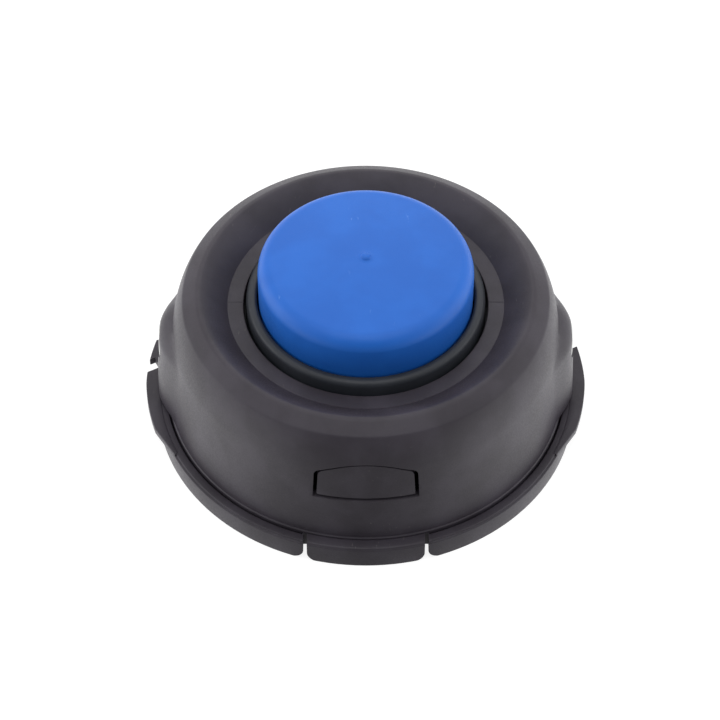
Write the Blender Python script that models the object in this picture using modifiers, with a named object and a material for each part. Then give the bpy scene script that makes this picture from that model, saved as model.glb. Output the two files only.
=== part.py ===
"""Tap-feed trimmer head for a grass trimmer, lying on its drive side with the tap button up.

The axis of rotation is Z, and the rim of the housing rests on z = 0. The latches face -Y and +Y,
and the two lines leave through the pods at -X and +X. Lengths are in metres.
"""

import math

import bmesh
import bpy
from mathutils import Matrix, Vector

MM = 0.001

# Clearances
SEAT_GAP = 0.3 * MM
RUNNING_GAP = 0.4 * MM

# Facets round a full turn. Each is a multiple of the dog count, so that turned pieces match.
COVER_FACETS = 48
SPOOL_FACETS = 36
SMALL_FACETS = 24

# Facets of pieces that turn with nothing, the angles of a sharp edge and of a whole turn, and
# the depth by which joined shapes reach into each other
POD_FACETS = 32
EYELET_FACETS = 16
HOLE_FACETS = 10
TAB_FACETS = 6
SHARP_ANGLE = 32.0
FULL_TURN = 360.0
EMBED = 0.3 * MM

# Housing
RIM_HEIGHT = 7.4 * MM
RIM_WIDTH = 3.0 * MM
SKIRT_WALL = 2.2 * MM
RIM_CHAMFER = 0.5 * MM
FLOOR_TOP = 7.0 * MM
FLOOR_THICKNESS = 2.6 * MM
CHANNEL_FLOOR = 4.8 * MM
HUB_RECESS = 0.8 * MM
HUB_WALL = 5.0 * MM
POST_WALL = 3.1 * MM
POST_ABOVE_WEB = 0.6 * MM
SHAFT_CLEARANCE = 1.45 * MM
UNDER_RIBS = 12
RIB_THICKNESS = 1.8 * MM
TAB_MARGIN = 2.3 * MM
TAB_RISE = 0.25 * MM
RIM_SLOT_WIDTH = 2.4 * MM

# Ledges beside the pods, and the notches that hold the line's ends
LEDGE_REACH = 3.1 * MM
LEDGE_THICKNESS = 2.0 * MM
LEDGE_HALF_ANGLE = 14.6
LEDGE_END_ANGLE = 2.8
NOTCH_WIDTH = 4.1 * MM
NOTCH_SKEW = 28.0
LEFT_NOTCH_ANGLE = 5.3
RIGHT_NOTCH_ANGLE = 14.1

# Threaded insert
INSERT_HEX = 21.0 * MM
INSERT_HEX_HEIGHT = 3.6 * MM
INSERT_SHANK_RADIUS = 8.2 * MM
INSERT_HEIGHT = 16.0 * MM
INSERT_BORE = 5.15 * MM

# Dogs
DOG_COUNT = 12
DOG_ROOT_HALF_ANGLE = 6.5
DOG_DRIVE_INSET = 1.0
DOG_RAMP_INSET = 5.0
UPPER_DOG_HEIGHT = 3.6 * MM
LOWER_DOG_HEIGHT = 3.2 * MM
DOG_INSET = 1.8 * MM
DOG_LENGTH = 6.8 * MM

# Spool
TRAVEL = 6.0 * MM
FLANGE_THICKNESS = 2.0 * MM
CHAMBER_HEIGHT = 6.85 * MM
DIVIDER_THICKNESS = 1.6 * MM
BOSS_ROOM = 3.7 * MM
CORE_WALL = 3.0 * MM
WEB_THICKNESS = 2.6 * MM
SPRING_ROOM = 7.4 * MM
BOSS_WALL = 3.0 * MM
SPOOL_RIBS = 8
SPOOL_RIB_THICKNESS = 1.6 * MM
DIVIDER_NOTCH_WIDTH = 5.0 * MM
DIVIDER_NOTCH_DEPTH = 9.0 * MM
LINE_SLIT_WIDTH = 2.4 * MM
LINE_SLIT_DEPTH = 6.0 * MM
ANCHOR_HOLE_RADIUS = 2.2 * MM
COLLAR_THICKNESS = 3.05 * MM
COLLAR_PROUD = 3.7 * MM
COLLAR_ROUNDING = 1.7 * MM

# Spring and thrust washer
SPRING_WIRE = 0.8 * MM
SPRING_CLEARANCE = 0.8 * MM
SPRING_TURNS = 5
SPRING_POINTS_PER_TURN = 12
CLOSED_PITCH = 1.75 * MM
WASHER_THICKNESS = 1.0 * MM
WASHER_WIDTH = 4.4 * MM

# Bearing, 12 x 28 x 8, and the clips that hold it
BEARING_BORE = 6.0 * MM
BEARING_RADIUS = 14.0 * MM
BALL_COUNT = 8
BALL_SHARE = 0.2875
RACE_SHARE = 0.3
CAGE_THICKNESS = 1.8 * MM
CAGE_RIM = 0.55 * MM
CAGE_CLEARANCE = 0.2 * MM
SEAL_THICKNESS = 0.5 * MM
CLIP_THICKNESS = 1.0 * MM
CLIP_GROOVE = 0.7 * MM
CIRCLIP_WIDTH = 1.9 * MM
CIRCLIP_LUG_RADIUS = 1.5 * MM
CIRCLIP_LUG_INSET = 0.02 * MM
CIRCLIP_EYE_RADIUS = 0.65 * MM
CIRCLIP_HALF_ANGLE = 20.0
BUTTON_CLIP_WIDTH = 3.0 * MM
BUTTON_CLIP_HALF_ANGLE = 50.0
BOSS_LIP = 1.9 * MM

# Tap button
BUTTON_RADIUS = 30.3 * MM
BUTTON_GAP = 0.45 * MM
BUTTON_WALL = 2.6 * MM
BUTTON_PROUD = 18.8 * MM
BUTTON_CROWN = 1.7 * MM
BUTTON_ROUNDING = 4.6 * MM
BUTTON_SKIRT_GAP = 2.4 * MM
BUTTON_RIBS = 6
BUTTON_RIB_THICKNESS = 1.8 * MM
STUB_SHOULDER = 2.3 * MM
STUB_TAIL = 1.4 * MM
NUB_RADIUS = 1.5 * MM
NUB_HEIGHT = 0.7 * MM

# Cover
COVER_WALL = 2.4 * MM
COVER_CLEARANCE = 0.8 * MM
WALL_DRAFT = 0.092
OPENING_GAP = 0.85 * MM
RING_WIDTH = 4.55 * MM
CREST_RISE = 5.7 * MM
SLOPE_RUN = 8.0 * MM
SLOPE_PULL = 0.8
SHOULDER_WIDTH = 7.78 * MM
SHOULDER_DROP = 10.9 * MM
POD_PROUD = 3.5 * MM
POD_RADIUS = 21.6 * MM
POD_DRAFT = 0.075
POD_LIFT = 1.0 * MM
POD_STEP = 2.0 * MM
POD_ROUNDING = 6.0 * MM
WINDOW_WIDTH = 28.4 * MM
WINDOW_FLARE = 0.5 * MM
WINDOW_LAND = 0.1 * MM
WINDOW_HEIGHT = 14.2 * MM
WINDOW_ARCH = 2.3 * MM
WINDOW_CORNER = 3.0 * MM
WINDOW_CORNER_ANGLE = 75.0

# Latches
LATCH_ARM_THICKNESS = 2.2 * MM
LATCH_CUT_DEPTH = 16.0 * MM
LATCH_SIDE_GAP = 1.1 * MM
LATCH_SEAT_GAP = 1.0 * MM
LATCH_TOP_GAP = 0.4 * MM

# Eyelets and their towers
EYELET_BORE = 3.2 * MM
EYELET_WALL = 1.8 * MM
EYELET_FLANGE_WIDTH = 1.3 * MM
EYELET_FLANGE_THICKNESS = 1.4 * MM
EYELET_CLEARANCE = 1.0 * MM
EYELET_RECESS = 0.5 * MM
TOWER_SHOULDER = 1.4 * MM
TONGUE_MARGIN = 0.1 * MM

# The bearing's own sizes
BALL_RADIUS = (BEARING_RADIUS - BEARING_BORE) * BALL_SHARE
RACE_WALL = (BEARING_RADIUS - BEARING_BORE) * RACE_SHARE
PITCH_RADIUS = (BEARING_BORE + BEARING_RADIUS) / 2
POCKET_RADIUS = BALL_RADIUS + SEAT_GAP
SEAL_INSET = SEAT_GAP / 2
BEARING_WIDTH = 2 * (POCKET_RADIUS + CAGE_RIM + CAGE_CLEARANCE + SEAL_THICKNESS + SEAL_INSET)

# Heights, worked out from the drive side upwards
LOWER_DOG_TIP = FLOOR_TOP + TRAVEL + RUNNING_GAP
LOWER_FLANGE_BOTTOM = LOWER_DOG_TIP + LOWER_DOG_HEIGHT
LOWER_FLANGE_TOP = LOWER_FLANGE_BOTTOM + FLANGE_THICKNESS
DIVIDER_BOTTOM = LOWER_FLANGE_TOP + CHAMBER_HEIGHT
DIVIDER_TOP = DIVIDER_BOTTOM + DIVIDER_THICKNESS
UPPER_FLANGE_BOTTOM = DIVIDER_TOP + CHAMBER_HEIGHT
UPPER_FLANGE_TOP = UPPER_FLANGE_BOTTOM + FLANGE_THICKNESS
UPPER_DOG_TIP = UPPER_FLANGE_TOP + UPPER_DOG_HEIGHT
RING_BOTTOM = UPPER_DOG_TIP + SEAT_GAP
RING_TOP = RING_BOTTOM + COVER_WALL
CREST_TOP = RING_TOP + CREST_RISE
WALL_TOP = CREST_TOP - SHOULDER_DROP
COVER_BOTTOM = CHANNEL_FLOOR + SEAT_GAP
COLLAR_TOP = RING_TOP + COLLAR_PROUD
BUTTON_TOP = RING_TOP + BUTTON_PROUD
BUTTON_BOTTOM = UPPER_FLANGE_TOP + BUTTON_SKIRT_GAP
WEB_BOTTOM = LOWER_FLANGE_BOTTOM + SPRING_ROOM
WEB_TOP = WEB_BOTTOM + WEB_THICKNESS
POST_TOP = WEB_TOP + POST_ABOVE_WEB
WASHER_TOP = WEB_BOTTOM - SEAT_GAP
WASHER_BOTTOM = WASHER_TOP - WASHER_THICKNESS
STUB_BOTTOM = POST_TOP + TRAVEL + RUNNING_GAP
STUB_GROOVE_BOTTOM = STUB_BOTTOM + STUB_TAIL
BUTTON_CLIP_BOTTOM = STUB_GROOVE_BOTTOM + SEAT_GAP
BEARING_BOTTOM = BUTTON_CLIP_BOTTOM + CLIP_THICKNESS + SEAT_GAP
BEARING_MIDDLE = BEARING_BOTTOM + BEARING_WIDTH / 2
BEARING_TOP = BEARING_BOTTOM + BEARING_WIDTH
CIRCLIP_BOTTOM = BEARING_TOP + SEAT_GAP
BOSS_TOP = CIRCLIP_BOTTOM + CLIP_THICKNESS + SEAT_GAP + BOSS_LIP
EYELET_HEIGHT = (LOWER_FLANGE_TOP + UPPER_FLANGE_BOTTOM) / 2
POD_BOTTOM = RIM_HEIGHT + POD_LIFT
POD_TOP = WALL_TOP - POD_STEP
WINDOW_BOTTOM = WALL_TOP - WINDOW_LAND - WINDOW_HEIGHT

# Radii and widths, worked out from the axis outwards
SHAFT_BORE = INSERT_BORE + SHAFT_CLEARANCE
POST_RADIUS = INSERT_SHANK_RADIUS + SEAT_GAP + POST_WALL
HEX_POCKET_RADIUS = (INSERT_HEX / 2 + SEAT_GAP) / math.cos(math.radians(30))
HUB_RADIUS = HEX_POCKET_RADIUS + HUB_WALL
COLLAR_INNER = BUTTON_RADIUS + BUTTON_GAP
COLLAR_RADIUS = COLLAR_INNER + COLLAR_THICKNESS
OPENING_RADIUS = COLLAR_RADIUS + OPENING_GAP
RING_RADIUS = OPENING_RADIUS + RING_WIDTH
DOG_INNER = OPENING_RADIUS + DOG_INSET
DOG_OUTER = DOG_INNER + DOG_LENGTH
WEB_BORE = POST_RADIUS + RUNNING_GAP
SPRING_RADIUS = POST_RADIUS + SPRING_CLEARANCE + SPRING_WIRE
BEARING_SEAT = BEARING_RADIUS + SEAT_GAP
BOSS_RADIUS = BEARING_SEAT + BOSS_WALL
CORE_RADIUS = BOSS_RADIUS + BOSS_ROOM + CORE_WALL
STUB_RADIUS = BEARING_BORE - SEAT_GAP
CREST_RADIUS = RING_RADIUS + SLOPE_RUN
COVER_RADIUS = CREST_RADIUS + SHOULDER_WIDTH + (WALL_TOP - RIM_HEIGHT) * WALL_DRAFT
CHANNEL_OUTER = COVER_RADIUS + COVER_CLEARANCE
RIM_RADIUS = CHANNEL_OUTER + RIM_WIDTH
LEDGE_RADIUS = RIM_RADIUS + LEDGE_REACH
TAB_WIDTH = WINDOW_WIDTH + 2 * TAB_MARGIN
POD_CENTRE = COVER_RADIUS + POD_PROUD - POD_RADIUS
EYELET_RADIUS = EYELET_BORE + EYELET_WALL
EYELET_FLANGE_RADIUS = EYELET_RADIUS + EYELET_FLANGE_WIDTH
TONGUE_WIDTH = 2 * (EYELET_RADIUS + TONGUE_MARGIN)
TOWER_WIDTH = TONGUE_WIDTH + 2 * TOWER_SHOULDER


def wall_radius(height):
    """Radius of the cover's drafted outer wall."""
    return COVER_RADIUS - (height - RIM_HEIGHT) * WALL_DRAFT


def pod_radius(height):
    """Radius of a pod's drafted wall about its own axis."""
    return POD_RADIUS - (height - POD_BOTTOM) * POD_DRAFT


LATCH_INSET = COVER_WALL + RUNNING_GAP
SPOOL_RADIUS = wall_radius(UPPER_FLANGE_TOP) - LATCH_INSET - LATCH_ARM_THICKNESS - 2 * RUNNING_GAP
CHANNEL_INNER = wall_radius(COVER_BOTTOM) - LATCH_INSET
EYELET_INNER_END = SPOOL_RADIUS + EYELET_CLEARANCE
EYELET_OUTER_END = POD_CENTRE + pod_radius(EYELET_HEIGHT) - EYELET_RECESS


def clear_scene():
    """Remove what the new file starts with."""
    for existing in list(bpy.data.objects):
        bpy.data.objects.remove(existing)


def new_collection(name, hidden=False):
    """A collection linked to the scene."""
    collection = bpy.data.collections.new(name)
    bpy.context.scene.collection.children.link(collection)
    collection.hide_render = hidden
    return collection


def material(name, colour, roughness, metallic=0.0):
    """A Principled BSDF with one linear colour."""
    made = bpy.data.materials.new(name)
    made.use_nodes = True
    shader = made.node_tree.nodes["Principled BSDF"]
    shader.inputs["Base Color"].default_value = (*colour, 1.0)
    shader.inputs["Roughness"].default_value = roughness
    shader.inputs["Metallic"].default_value = metallic
    made.diffuse_color = (*colour, 1.0)
    return made


def add_object(name, mesh):
    """A new object in the collection of the pieces."""
    made = bpy.data.objects.new(name, mesh)
    PIECES.objects.link(made)
    return made


def from_bmesh(name, shape):
    """An object made from a bmesh, with its faces turned outwards."""
    bmesh.ops.recalc_face_normals(shape, faces=shape.faces[:])
    mesh = bpy.data.meshes.new(name)
    shape.to_mesh(mesh)
    shape.free()
    return add_object(name, mesh)


def arc(centre, radii, start, end, steps):
    """Points on an elliptical arc in the profile plane, from one angle in degrees to another."""
    angles = [math.radians(start + (end - start) * step / steps) for step in range(steps + 1)]
    return [
        (centre[0] + radii[0] * math.cos(angle), centre[1] + radii[1] * math.sin(angle))
        for angle in angles
    ]


def signed_area(profile):
    """Area inside a profile, positive where it runs anticlockwise."""
    following = profile[1:] + profile[:1]
    return sum(a[0] * b[1] - b[0] * a[1] for a, b in zip(profile, following)) / 2


def turned(name, profile, facets, closed=True, shift=0.0):
    """A solid turned about Z. An open profile has both its ends on the axis.

    The shift turns it by a share of a facet, which keeps its edges off those of a shape it meets.
    """
    if signed_area(profile) > 0:
        profile = profile[::-1]
    count = len(profile)
    edges = [(step, (step + 1) % count) for step in range(count if closed else count - 1)]
    angle = math.radians(shift * FULL_TURN / facets)
    points = [
        (radius * math.cos(angle), radius * math.sin(angle), height) for radius, height in profile
    ]
    mesh = bpy.data.meshes.new(name)
    mesh.from_pydata(points, edges, [])
    made = add_object(name, mesh)
    screw = made.modifiers.new("Turn", "SCREW")
    screw.steps = screw.render_steps = facets
    screw.use_merge_vertices = True
    screw.merge_threshold = 1e-6
    return made


def sector(name, profile, start, end, steps):
    """A closed profile swept about Z between two angles in degrees."""
    shape = bmesh.new()
    corners = [shape.verts.new((radius, 0.0, height)) for radius, height in profile]
    face = shape.faces.new(corners)
    bmesh.ops.rotate(shape, verts=corners, matrix=Matrix.Rotation(math.radians(start), 3, "Z"))
    bmesh.ops.spin(
        shape,
        geom=[face, *face.edges, *face.verts],
        axis=(0, 0, 1),
        cent=(0, 0, 0),
        angle=math.radians(end - start),
        steps=steps,
    )
    return from_bmesh(name, shape)


def outline_solid(name, points, depth, matrix):
    """A flat outline given a thickness, half of it on each side of its plane."""
    curve = bpy.data.curves.new(name, "CURVE")
    curve.dimensions = "2D"
    curve.fill_mode = "BOTH"
    curve.extrude = depth / 2
    spline = curve.splines.new("POLY")
    spline.points.add(len(points) - 1)
    for point, (x, y) in zip(spline.points, points):
        point.co = (x, y, 0.0, 1.0)
    spline.use_cyclic_u = True
    drawn = bpy.data.objects.new(name, curve)
    PIECES.objects.link(drawn)
    bpy.context.view_layer.update()
    evaluated = drawn.evaluated_get(bpy.context.evaluated_depsgraph_get())
    shape = bmesh.new()
    shape.from_mesh(bpy.data.meshes.new_from_object(evaluated))
    bpy.data.objects.remove(drawn)
    bmesh.ops.remove_doubles(shape, verts=shape.verts[:], dist=1e-6)
    bmesh.ops.transform(shape, matrix=matrix, verts=shape.verts[:])
    return from_bmesh(name, shape)


def box(name, size, matrix):
    """A box of the given sides."""
    shape = bmesh.new()
    bmesh.ops.create_cube(shape, size=1.0)
    bmesh.ops.scale(shape, vec=size, verts=shape.verts[:])
    bmesh.ops.transform(shape, matrix=matrix, verts=shape.verts[:])
    return from_bmesh(name, shape)


def rod(name, radius, length, facets, matrix):
    """A cylinder along Z before its matrix is applied."""
    shape = bmesh.new()
    bmesh.ops.create_cone(
        shape, cap_ends=True, segments=facets, radius1=radius, radius2=radius, depth=length
    )
    bmesh.ops.transform(shape, matrix=matrix, verts=shape.verts[:])
    return from_bmesh(name, shape)


def place(x=0.0, y=0.0, z=0.0, turn=0.0):
    """A move, after a turn about Z in degrees."""
    return Matrix.Translation((x, y, z)) @ Matrix.Rotation(math.radians(turn), 4, "Z")


def polar_dogs(name, root, tip, phase):
    """Saw-toothed dogs in a ring: one side of each is steep and drives, the other is a ramp."""
    shape = bmesh.new()
    low, high = min(root, tip), max(root, tip)
    for index in range(DOG_COUNT):
        centre = phase + FULL_TURN * index / DOG_COUNT
        made = bmesh.ops.create_cube(shape, size=1.0)["verts"]
        for vertex in made:
            side = 1 if vertex.co.y > 0 else -1
            at_tip = (vertex.co.z > 0) == (tip > root)
            half = DOG_ROOT_HALF_ANGLE
            if at_tip:
                half -= DOG_RAMP_INSET if side > 0 else DOG_DRIVE_INSET
            angle = math.radians(centre + side * half)
            radius = DOG_OUTER if vertex.co.x > 0 else DOG_INNER
            height = high if vertex.co.z > 0 else low
            vertex.co = (radius * math.cos(angle), radius * math.sin(angle), height)
    return from_bmesh(name, shape)


def radial_ribs(name, count, inner, outer, bottom, top, thickness, phase=0.0):
    """Straight ribs that stand out from the axis like spokes."""
    shape = bmesh.new()
    for index in range(count):
        made = bmesh.ops.create_cube(shape, size=1.0)["verts"]
        bmesh.ops.scale(shape, vec=(outer - inner, thickness, top - bottom), verts=made)
        bmesh.ops.translate(shape, vec=((outer + inner) / 2, 0, (top + bottom) / 2), verts=made)
        turn = Matrix.Rotation(math.radians(phase + FULL_TURN * index / count), 3, "Z")
        bmesh.ops.rotate(shape, verts=made, matrix=turn)
    return from_bmesh(name, shape)


def combine(target, tool, operation):
    """Join, cut or trim a piece with a tool, which then stays in the collection of cutters."""
    step = target.modifiers.new(tool.name, "BOOLEAN")
    step.operation = operation
    step.object = tool
    step.solver = "EXACT"
    if tool.name not in CUTTERS.objects:
        CUTTERS.objects.link(tool)
        PIECES.objects.unlink(tool)
    tool.hide_render = True
    tool.display_type = "WIRE"


def settle(piece, finish, parent=None):
    """Apply a piece's modifiers, shade it smooth up to its edges and give it its material."""
    bpy.context.view_layer.update()
    evaluated = piece.evaluated_get(bpy.context.evaluated_depsgraph_get())
    mesh = bpy.data.meshes.new_from_object(evaluated)
    piece.modifiers.clear()
    piece.data = mesh
    mesh.name = piece.name
    mesh.shade_smooth()
    mesh.set_sharp_from_angle(angle=math.radians(SHARP_ANGLE))
    mesh.materials.clear()
    mesh.materials.append(finish)
    piece.parent = parent
    return piece


def facing_y(side):
    """Stands an outline up so that it faces the front (side -1) or the back (side 1)."""
    middle = side * (COVER_RADIUS - LATCH_CUT_DEPTH / 2)
    return Matrix.Translation((0, middle, 0)) @ Matrix.Rotation(math.radians(90), 4, "X")


def facing_x(x):
    """Stands an outline up so that it faces along X."""
    upright = Matrix.Rotation(math.radians(90), 4, "X")
    return Matrix.Translation((x, 0, 0)) @ Matrix.Rotation(math.radians(90), 4, "Z") @ upright


def along_x(x, height):
    """Lays a rod along X."""
    return Matrix.Translation((x, 0, height)) @ Matrix.Rotation(math.radians(90), 4, "Y")


def window_outline(side_gap, bottom_gap, top_gap):
    """A latch window, or the hook inside it: flared sides, round top corners and an arched top."""
    lower = WINDOW_WIDTH / 2 + WINDOW_FLARE - side_gap
    upper = WINDOW_WIDTH / 2 - side_gap
    bottom = WINDOW_BOTTOM + bottom_gap
    crown = WINDOW_BOTTOM + WINDOW_HEIGHT - top_gap
    corner = WINDOW_CORNER
    side_top = crown - WINDOW_ARCH
    right = arc((upper - corner, side_top - corner), (corner, corner), 0, WINDOW_CORNER_ANGLE, 3)
    reach = right[-1][0]
    arch = []
    for step in range(1, 6):
        x = reach * (1 - step / 3)
        arch.append((x, side_top + WINDOW_ARCH * (1 - (x / reach) ** 2)))
    left = [(-x, z) for x, z in reversed(right)]
    return [(-lower, bottom), (lower, bottom), *right, *arch, *left]


def shell_profile(outer_inset, inner_inset, bottom):
    """The cover's wall between two insets from its outer face, up to the top of the wall."""
    return [
        (wall_radius(WALL_TOP) - outer_inset, WALL_TOP),
        (wall_radius(bottom) - outer_inset, bottom),
        (wall_radius(bottom) - inner_inset, bottom),
        (wall_radius(WALL_TOP) - inner_inset, WALL_TOP),
    ]


def cover_outline(inset, steps):
    """The dome from the crest down to the top of its wall, drawn in by an inset."""
    width = wall_radius(WALL_TOP) - CREST_RADIUS - inset
    return arc((CREST_RADIUS, WALL_TOP), (width, SHOULDER_DROP - inset), 90, 0, steps)


def pod_profile(inset, bottom):
    """Section of a pod about its own axis, drawn in by an inset."""
    shoulder = POD_TOP - POD_ROUNDING
    centre = (pod_radius(shoulder) - POD_ROUNDING, shoulder)
    rounding = POD_ROUNDING - inset
    top = arc(centre, (rounding, rounding), 90, 0, 4)
    return [(0.0, POD_TOP - inset), *top, (pod_radius(bottom) - inset, bottom), (0.0, bottom)]


def add_cover():
    """Black moulded cover: dome, recessed ring, pods, latch windows, eyelet mouths and dogs."""
    slope = []
    for step in range(4):
        t = step / 4
        pull = 2 * t * (1 - t)
        radius = RING_RADIUS + (pull * SLOPE_PULL + t * t) * SLOPE_RUN
        height = (1 - t) ** 2 * RING_TOP + (pull + t * t) * CREST_TOP
        slope.append((radius, height))
    outside = [
        (OPENING_RADIUS, COVER_BOTTOM),
        (OPENING_RADIUS, RING_TOP),
        *slope,
        *cover_outline(0.0, 5),
        (wall_radius(COVER_BOTTOM), COVER_BOTTOM),
    ]
    cover = turned("cover", outside, COVER_FACETS)
    below = COVER_BOTTOM - SHOULDER_DROP
    for index, side in enumerate((-1, 1)):
        pod = turned(f"pod_{index}", pod_profile(0.0, POD_BOTTOM), POD_FACETS, closed=False,
                     shift=0.5)
        pod.location.x = side * POD_CENTRE
        combine(cover, pod, "UNION")
    ceiling = DOG_OUTER + COVER_WALL
    inside = [
        (0.0, RING_BOTTOM),
        (ceiling, RING_BOTTOM),
        (CREST_RADIUS - COVER_WALL / 2, CREST_TOP - COVER_WALL),
        *cover_outline(COVER_WALL, 3),
        (wall_radius(COVER_BOTTOM) - COVER_WALL, COVER_BOTTOM),
        (wall_radius(COVER_BOTTOM) - COVER_WALL, below),
        (0.0, below),
    ]
    cavity = turned("cover_cavity", inside, COVER_FACETS, closed=False, shift=0.5)
    combine(cover, cavity, "DIFFERENCE")
    half = TONGUE_WIDTH / 2 + SEAT_GAP
    mouth_outline = [(-half, below), (half, below),
                     *arc((0, EYELET_HEIGHT), (half, half), 0, 180, EYELET_FACETS // 2)]
    for index, side in enumerate((-1, 1)):
        cavity = turned(f"pod_cavity_{index}", pod_profile(COVER_WALL, below), POD_FACETS,
                        closed=False, shift=0.5)
        cavity.location.x = side * POD_CENTRE
        combine(cover, cavity, "DIFFERENCE")
        mouth = outline_solid(f"mouth_{index}", mouth_outline, POD_RADIUS,
                              facing_x(side * (POD_CENTRE + POD_RADIUS)))
        combine(cover, mouth, "DIFFERENCE")
        window = outline_solid(f"window_{index}", window_outline(0.0, 0.0, 0.0),
                               LATCH_CUT_DEPTH, facing_y(side))
        combine(cover, window, "DIFFERENCE")
    dogs = polar_dogs("cover_dogs", RING_BOTTOM + EMBED, RING_BOTTOM - UPPER_DOG_HEIGHT,
                      180.0 / DOG_COUNT)
    combine(cover, dogs, "UNION")
    settle(cover, BLACK)


def housing_profile():
    """Section of the housing: rim, channel for the cover's edge, and floor up to the post."""
    under_floor = FLOOR_TOP - FLOOR_THICKNESS
    under_channel = CHANNEL_FLOOR - SKIRT_WALL
    skirt_inner = RIM_RADIUS - SKIRT_WALL
    edge = RIM_CHAMFER
    return [
        (RIM_RADIUS - edge, RIM_HEIGHT),
        (RIM_RADIUS, RIM_HEIGHT - edge),
        (RIM_RADIUS, edge),
        (RIM_RADIUS - edge, 0.0),
        (skirt_inner, 0.0),
        (skirt_inner, under_channel),
        (CHANNEL_INNER, under_channel),
        (CHANNEL_INNER - FLOOR_THICKNESS, under_floor),
        (POST_RADIUS - EMBED, under_floor),
        (POST_RADIUS - EMBED, FLOOR_TOP),
        (CHANNEL_INNER, FLOOR_TOP),
        (CHANNEL_INNER, CHANNEL_FLOOR),
        (CHANNEL_OUTER, CHANNEL_FLOOR),
        (CHANNEL_OUTER, RIM_HEIGHT),
    ]


def post_profile():
    """Section of the hub and of the post on which the spring and the spool turn."""
    edge = RIM_CHAMFER
    return [
        (HUB_RADIUS, FLOOR_TOP - EMBED),
        (HUB_RADIUS, HUB_RECESS),
        (SHAFT_BORE, HUB_RECESS),
        (SHAFT_BORE, POST_TOP),
        (POST_RADIUS - edge, POST_TOP),
        (POST_RADIUS, POST_TOP - edge),
        (POST_RADIUS, FLOOR_TOP - EMBED),
    ]


def ledge_outline():
    """A ledge seen from above: an arc beyond the rim, with its ends drawn back to the rim."""
    half = LEDGE_HALF_ANGLE
    root = RIM_RADIUS - EMBED
    start = math.radians(half + LEDGE_END_ANGLE)
    foot = (root * math.cos(start), root * math.sin(start))
    inner = arc((0, 0), (root, root), half, -half, 4)
    return [(foot[0], -foot[1]), *arc((0, 0), (LEDGE_RADIUS, LEDGE_RADIUS), -half, half, 7),
            foot, *inner]


def add_ledges(housing):
    """The two ledges beside the pods, each with its notch for a line's end."""
    middle = RIM_HEIGHT - LEDGE_THICKNESS / 2
    notch_radius = (RIM_RADIUS + LEDGE_RADIUS) / 2
    length = 2 * (LEDGE_RADIUS - RIM_RADIUS)
    reach = length / 2 - (LEDGE_RADIUS - RIM_RADIUS) / 2
    for index, (turn, angle) in enumerate(((180.0, -LEFT_NOTCH_ANGLE), (0.0, RIGHT_NOTCH_ANGLE))):
        ledge = outline_solid(f"ledge_{index}", ledge_outline(), LEDGE_THICKNESS,
                              place(z=middle, turn=turn))
        at = turn + angle
        outward = Vector((math.cos(math.radians(at)), math.sin(math.radians(at)), 0))
        centre = outward * (notch_radius + reach)
        skewed = at + NOTCH_SKEW - angle
        notch = box(f"notch_{index}", (length, NOTCH_WIDTH, RIM_HEIGHT),
                    place(centre.x, centre.y, RIM_HEIGHT, turn=skewed))
        combine(ledge, notch, "DIFFERENCE")
        combine(housing, ledge, "UNION")


def add_tabs(housing):
    """The raised tabs below the windows, which reach in to the cover's wall."""
    inner = wall_radius(COVER_BOTTOM) + SEAT_GAP
    outer = RIM_RADIUS - RIM_CHAMFER
    top = RIM_HEIGHT + TAB_RISE
    bottom = CHANNEL_FLOOR - EMBED
    half = math.degrees(math.asin((TAB_WIDTH + RIM_SLOT_WIDTH) / (inner + outer)))
    profile = [(outer, top), (outer, bottom), (inner, bottom), (inner, top)]
    for index, middle in enumerate((-90.0, 90.0)):
        tab = sector(f"tab_{index}", profile, middle - half, middle + half, TAB_FACETS)
        combine(housing, tab, "UNION")


def add_towers(housing):
    """The towers that carry the eyelets, and the tongues that close the pods below them."""
    tower_inner = EYELET_INNER_END + EYELET_FLANGE_THICKNESS + SEAT_GAP
    pod_inner = pod_radius(EYELET_HEIGHT) - COVER_WALL
    corner = math.sqrt(pod_inner**2 - (TOWER_WIDTH / 2) ** 2)
    tower_outer = POD_CENTRE + corner - RUNNING_GAP
    width = tower_outer - tower_inner
    base = FLOOR_TOP - EMBED
    for index, side in enumerate((-1, 1)):
        height = EYELET_HEIGHT - base
        tower = box(f"tower_{index}", (width, TOWER_WIDTH, height),
                    place(side * (tower_inner + tower_outer) / 2, 0, base + height / 2))
        combine(housing, tower, "UNION")
        depth = LEDGE_RADIUS - tower_outer + EMBED
        low = CHANNEL_FLOOR - EMBED
        tongue = box(f"tongue_{index}", (depth, TONGUE_WIDTH, EYELET_HEIGHT - low),
                     place(side * (LEDGE_RADIUS - depth / 2), 0, (EYELET_HEIGHT + low) / 2))
        face = turned(f"tongue_face_{index}", pod_profile(SEAT_GAP, low - EMBED), POD_FACETS,
                      closed=False, shift=0.5)
        face.location.x = side * POD_CENTRE
        combine(tongue, face, "INTERSECT")
        combine(housing, tongue, "UNION")
        half_facet = Matrix.Rotation(math.pi / EYELET_FACETS, 4, "Z")
        groove = rod(f"eyelet_groove_{index}", EYELET_RADIUS + SEAT_GAP, LEDGE_RADIUS, EYELET_FACETS,
                     along_x(side * LEDGE_RADIUS, EYELET_HEIGHT) @ half_facet)
        combine(housing, groove, "DIFFERENCE")


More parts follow.
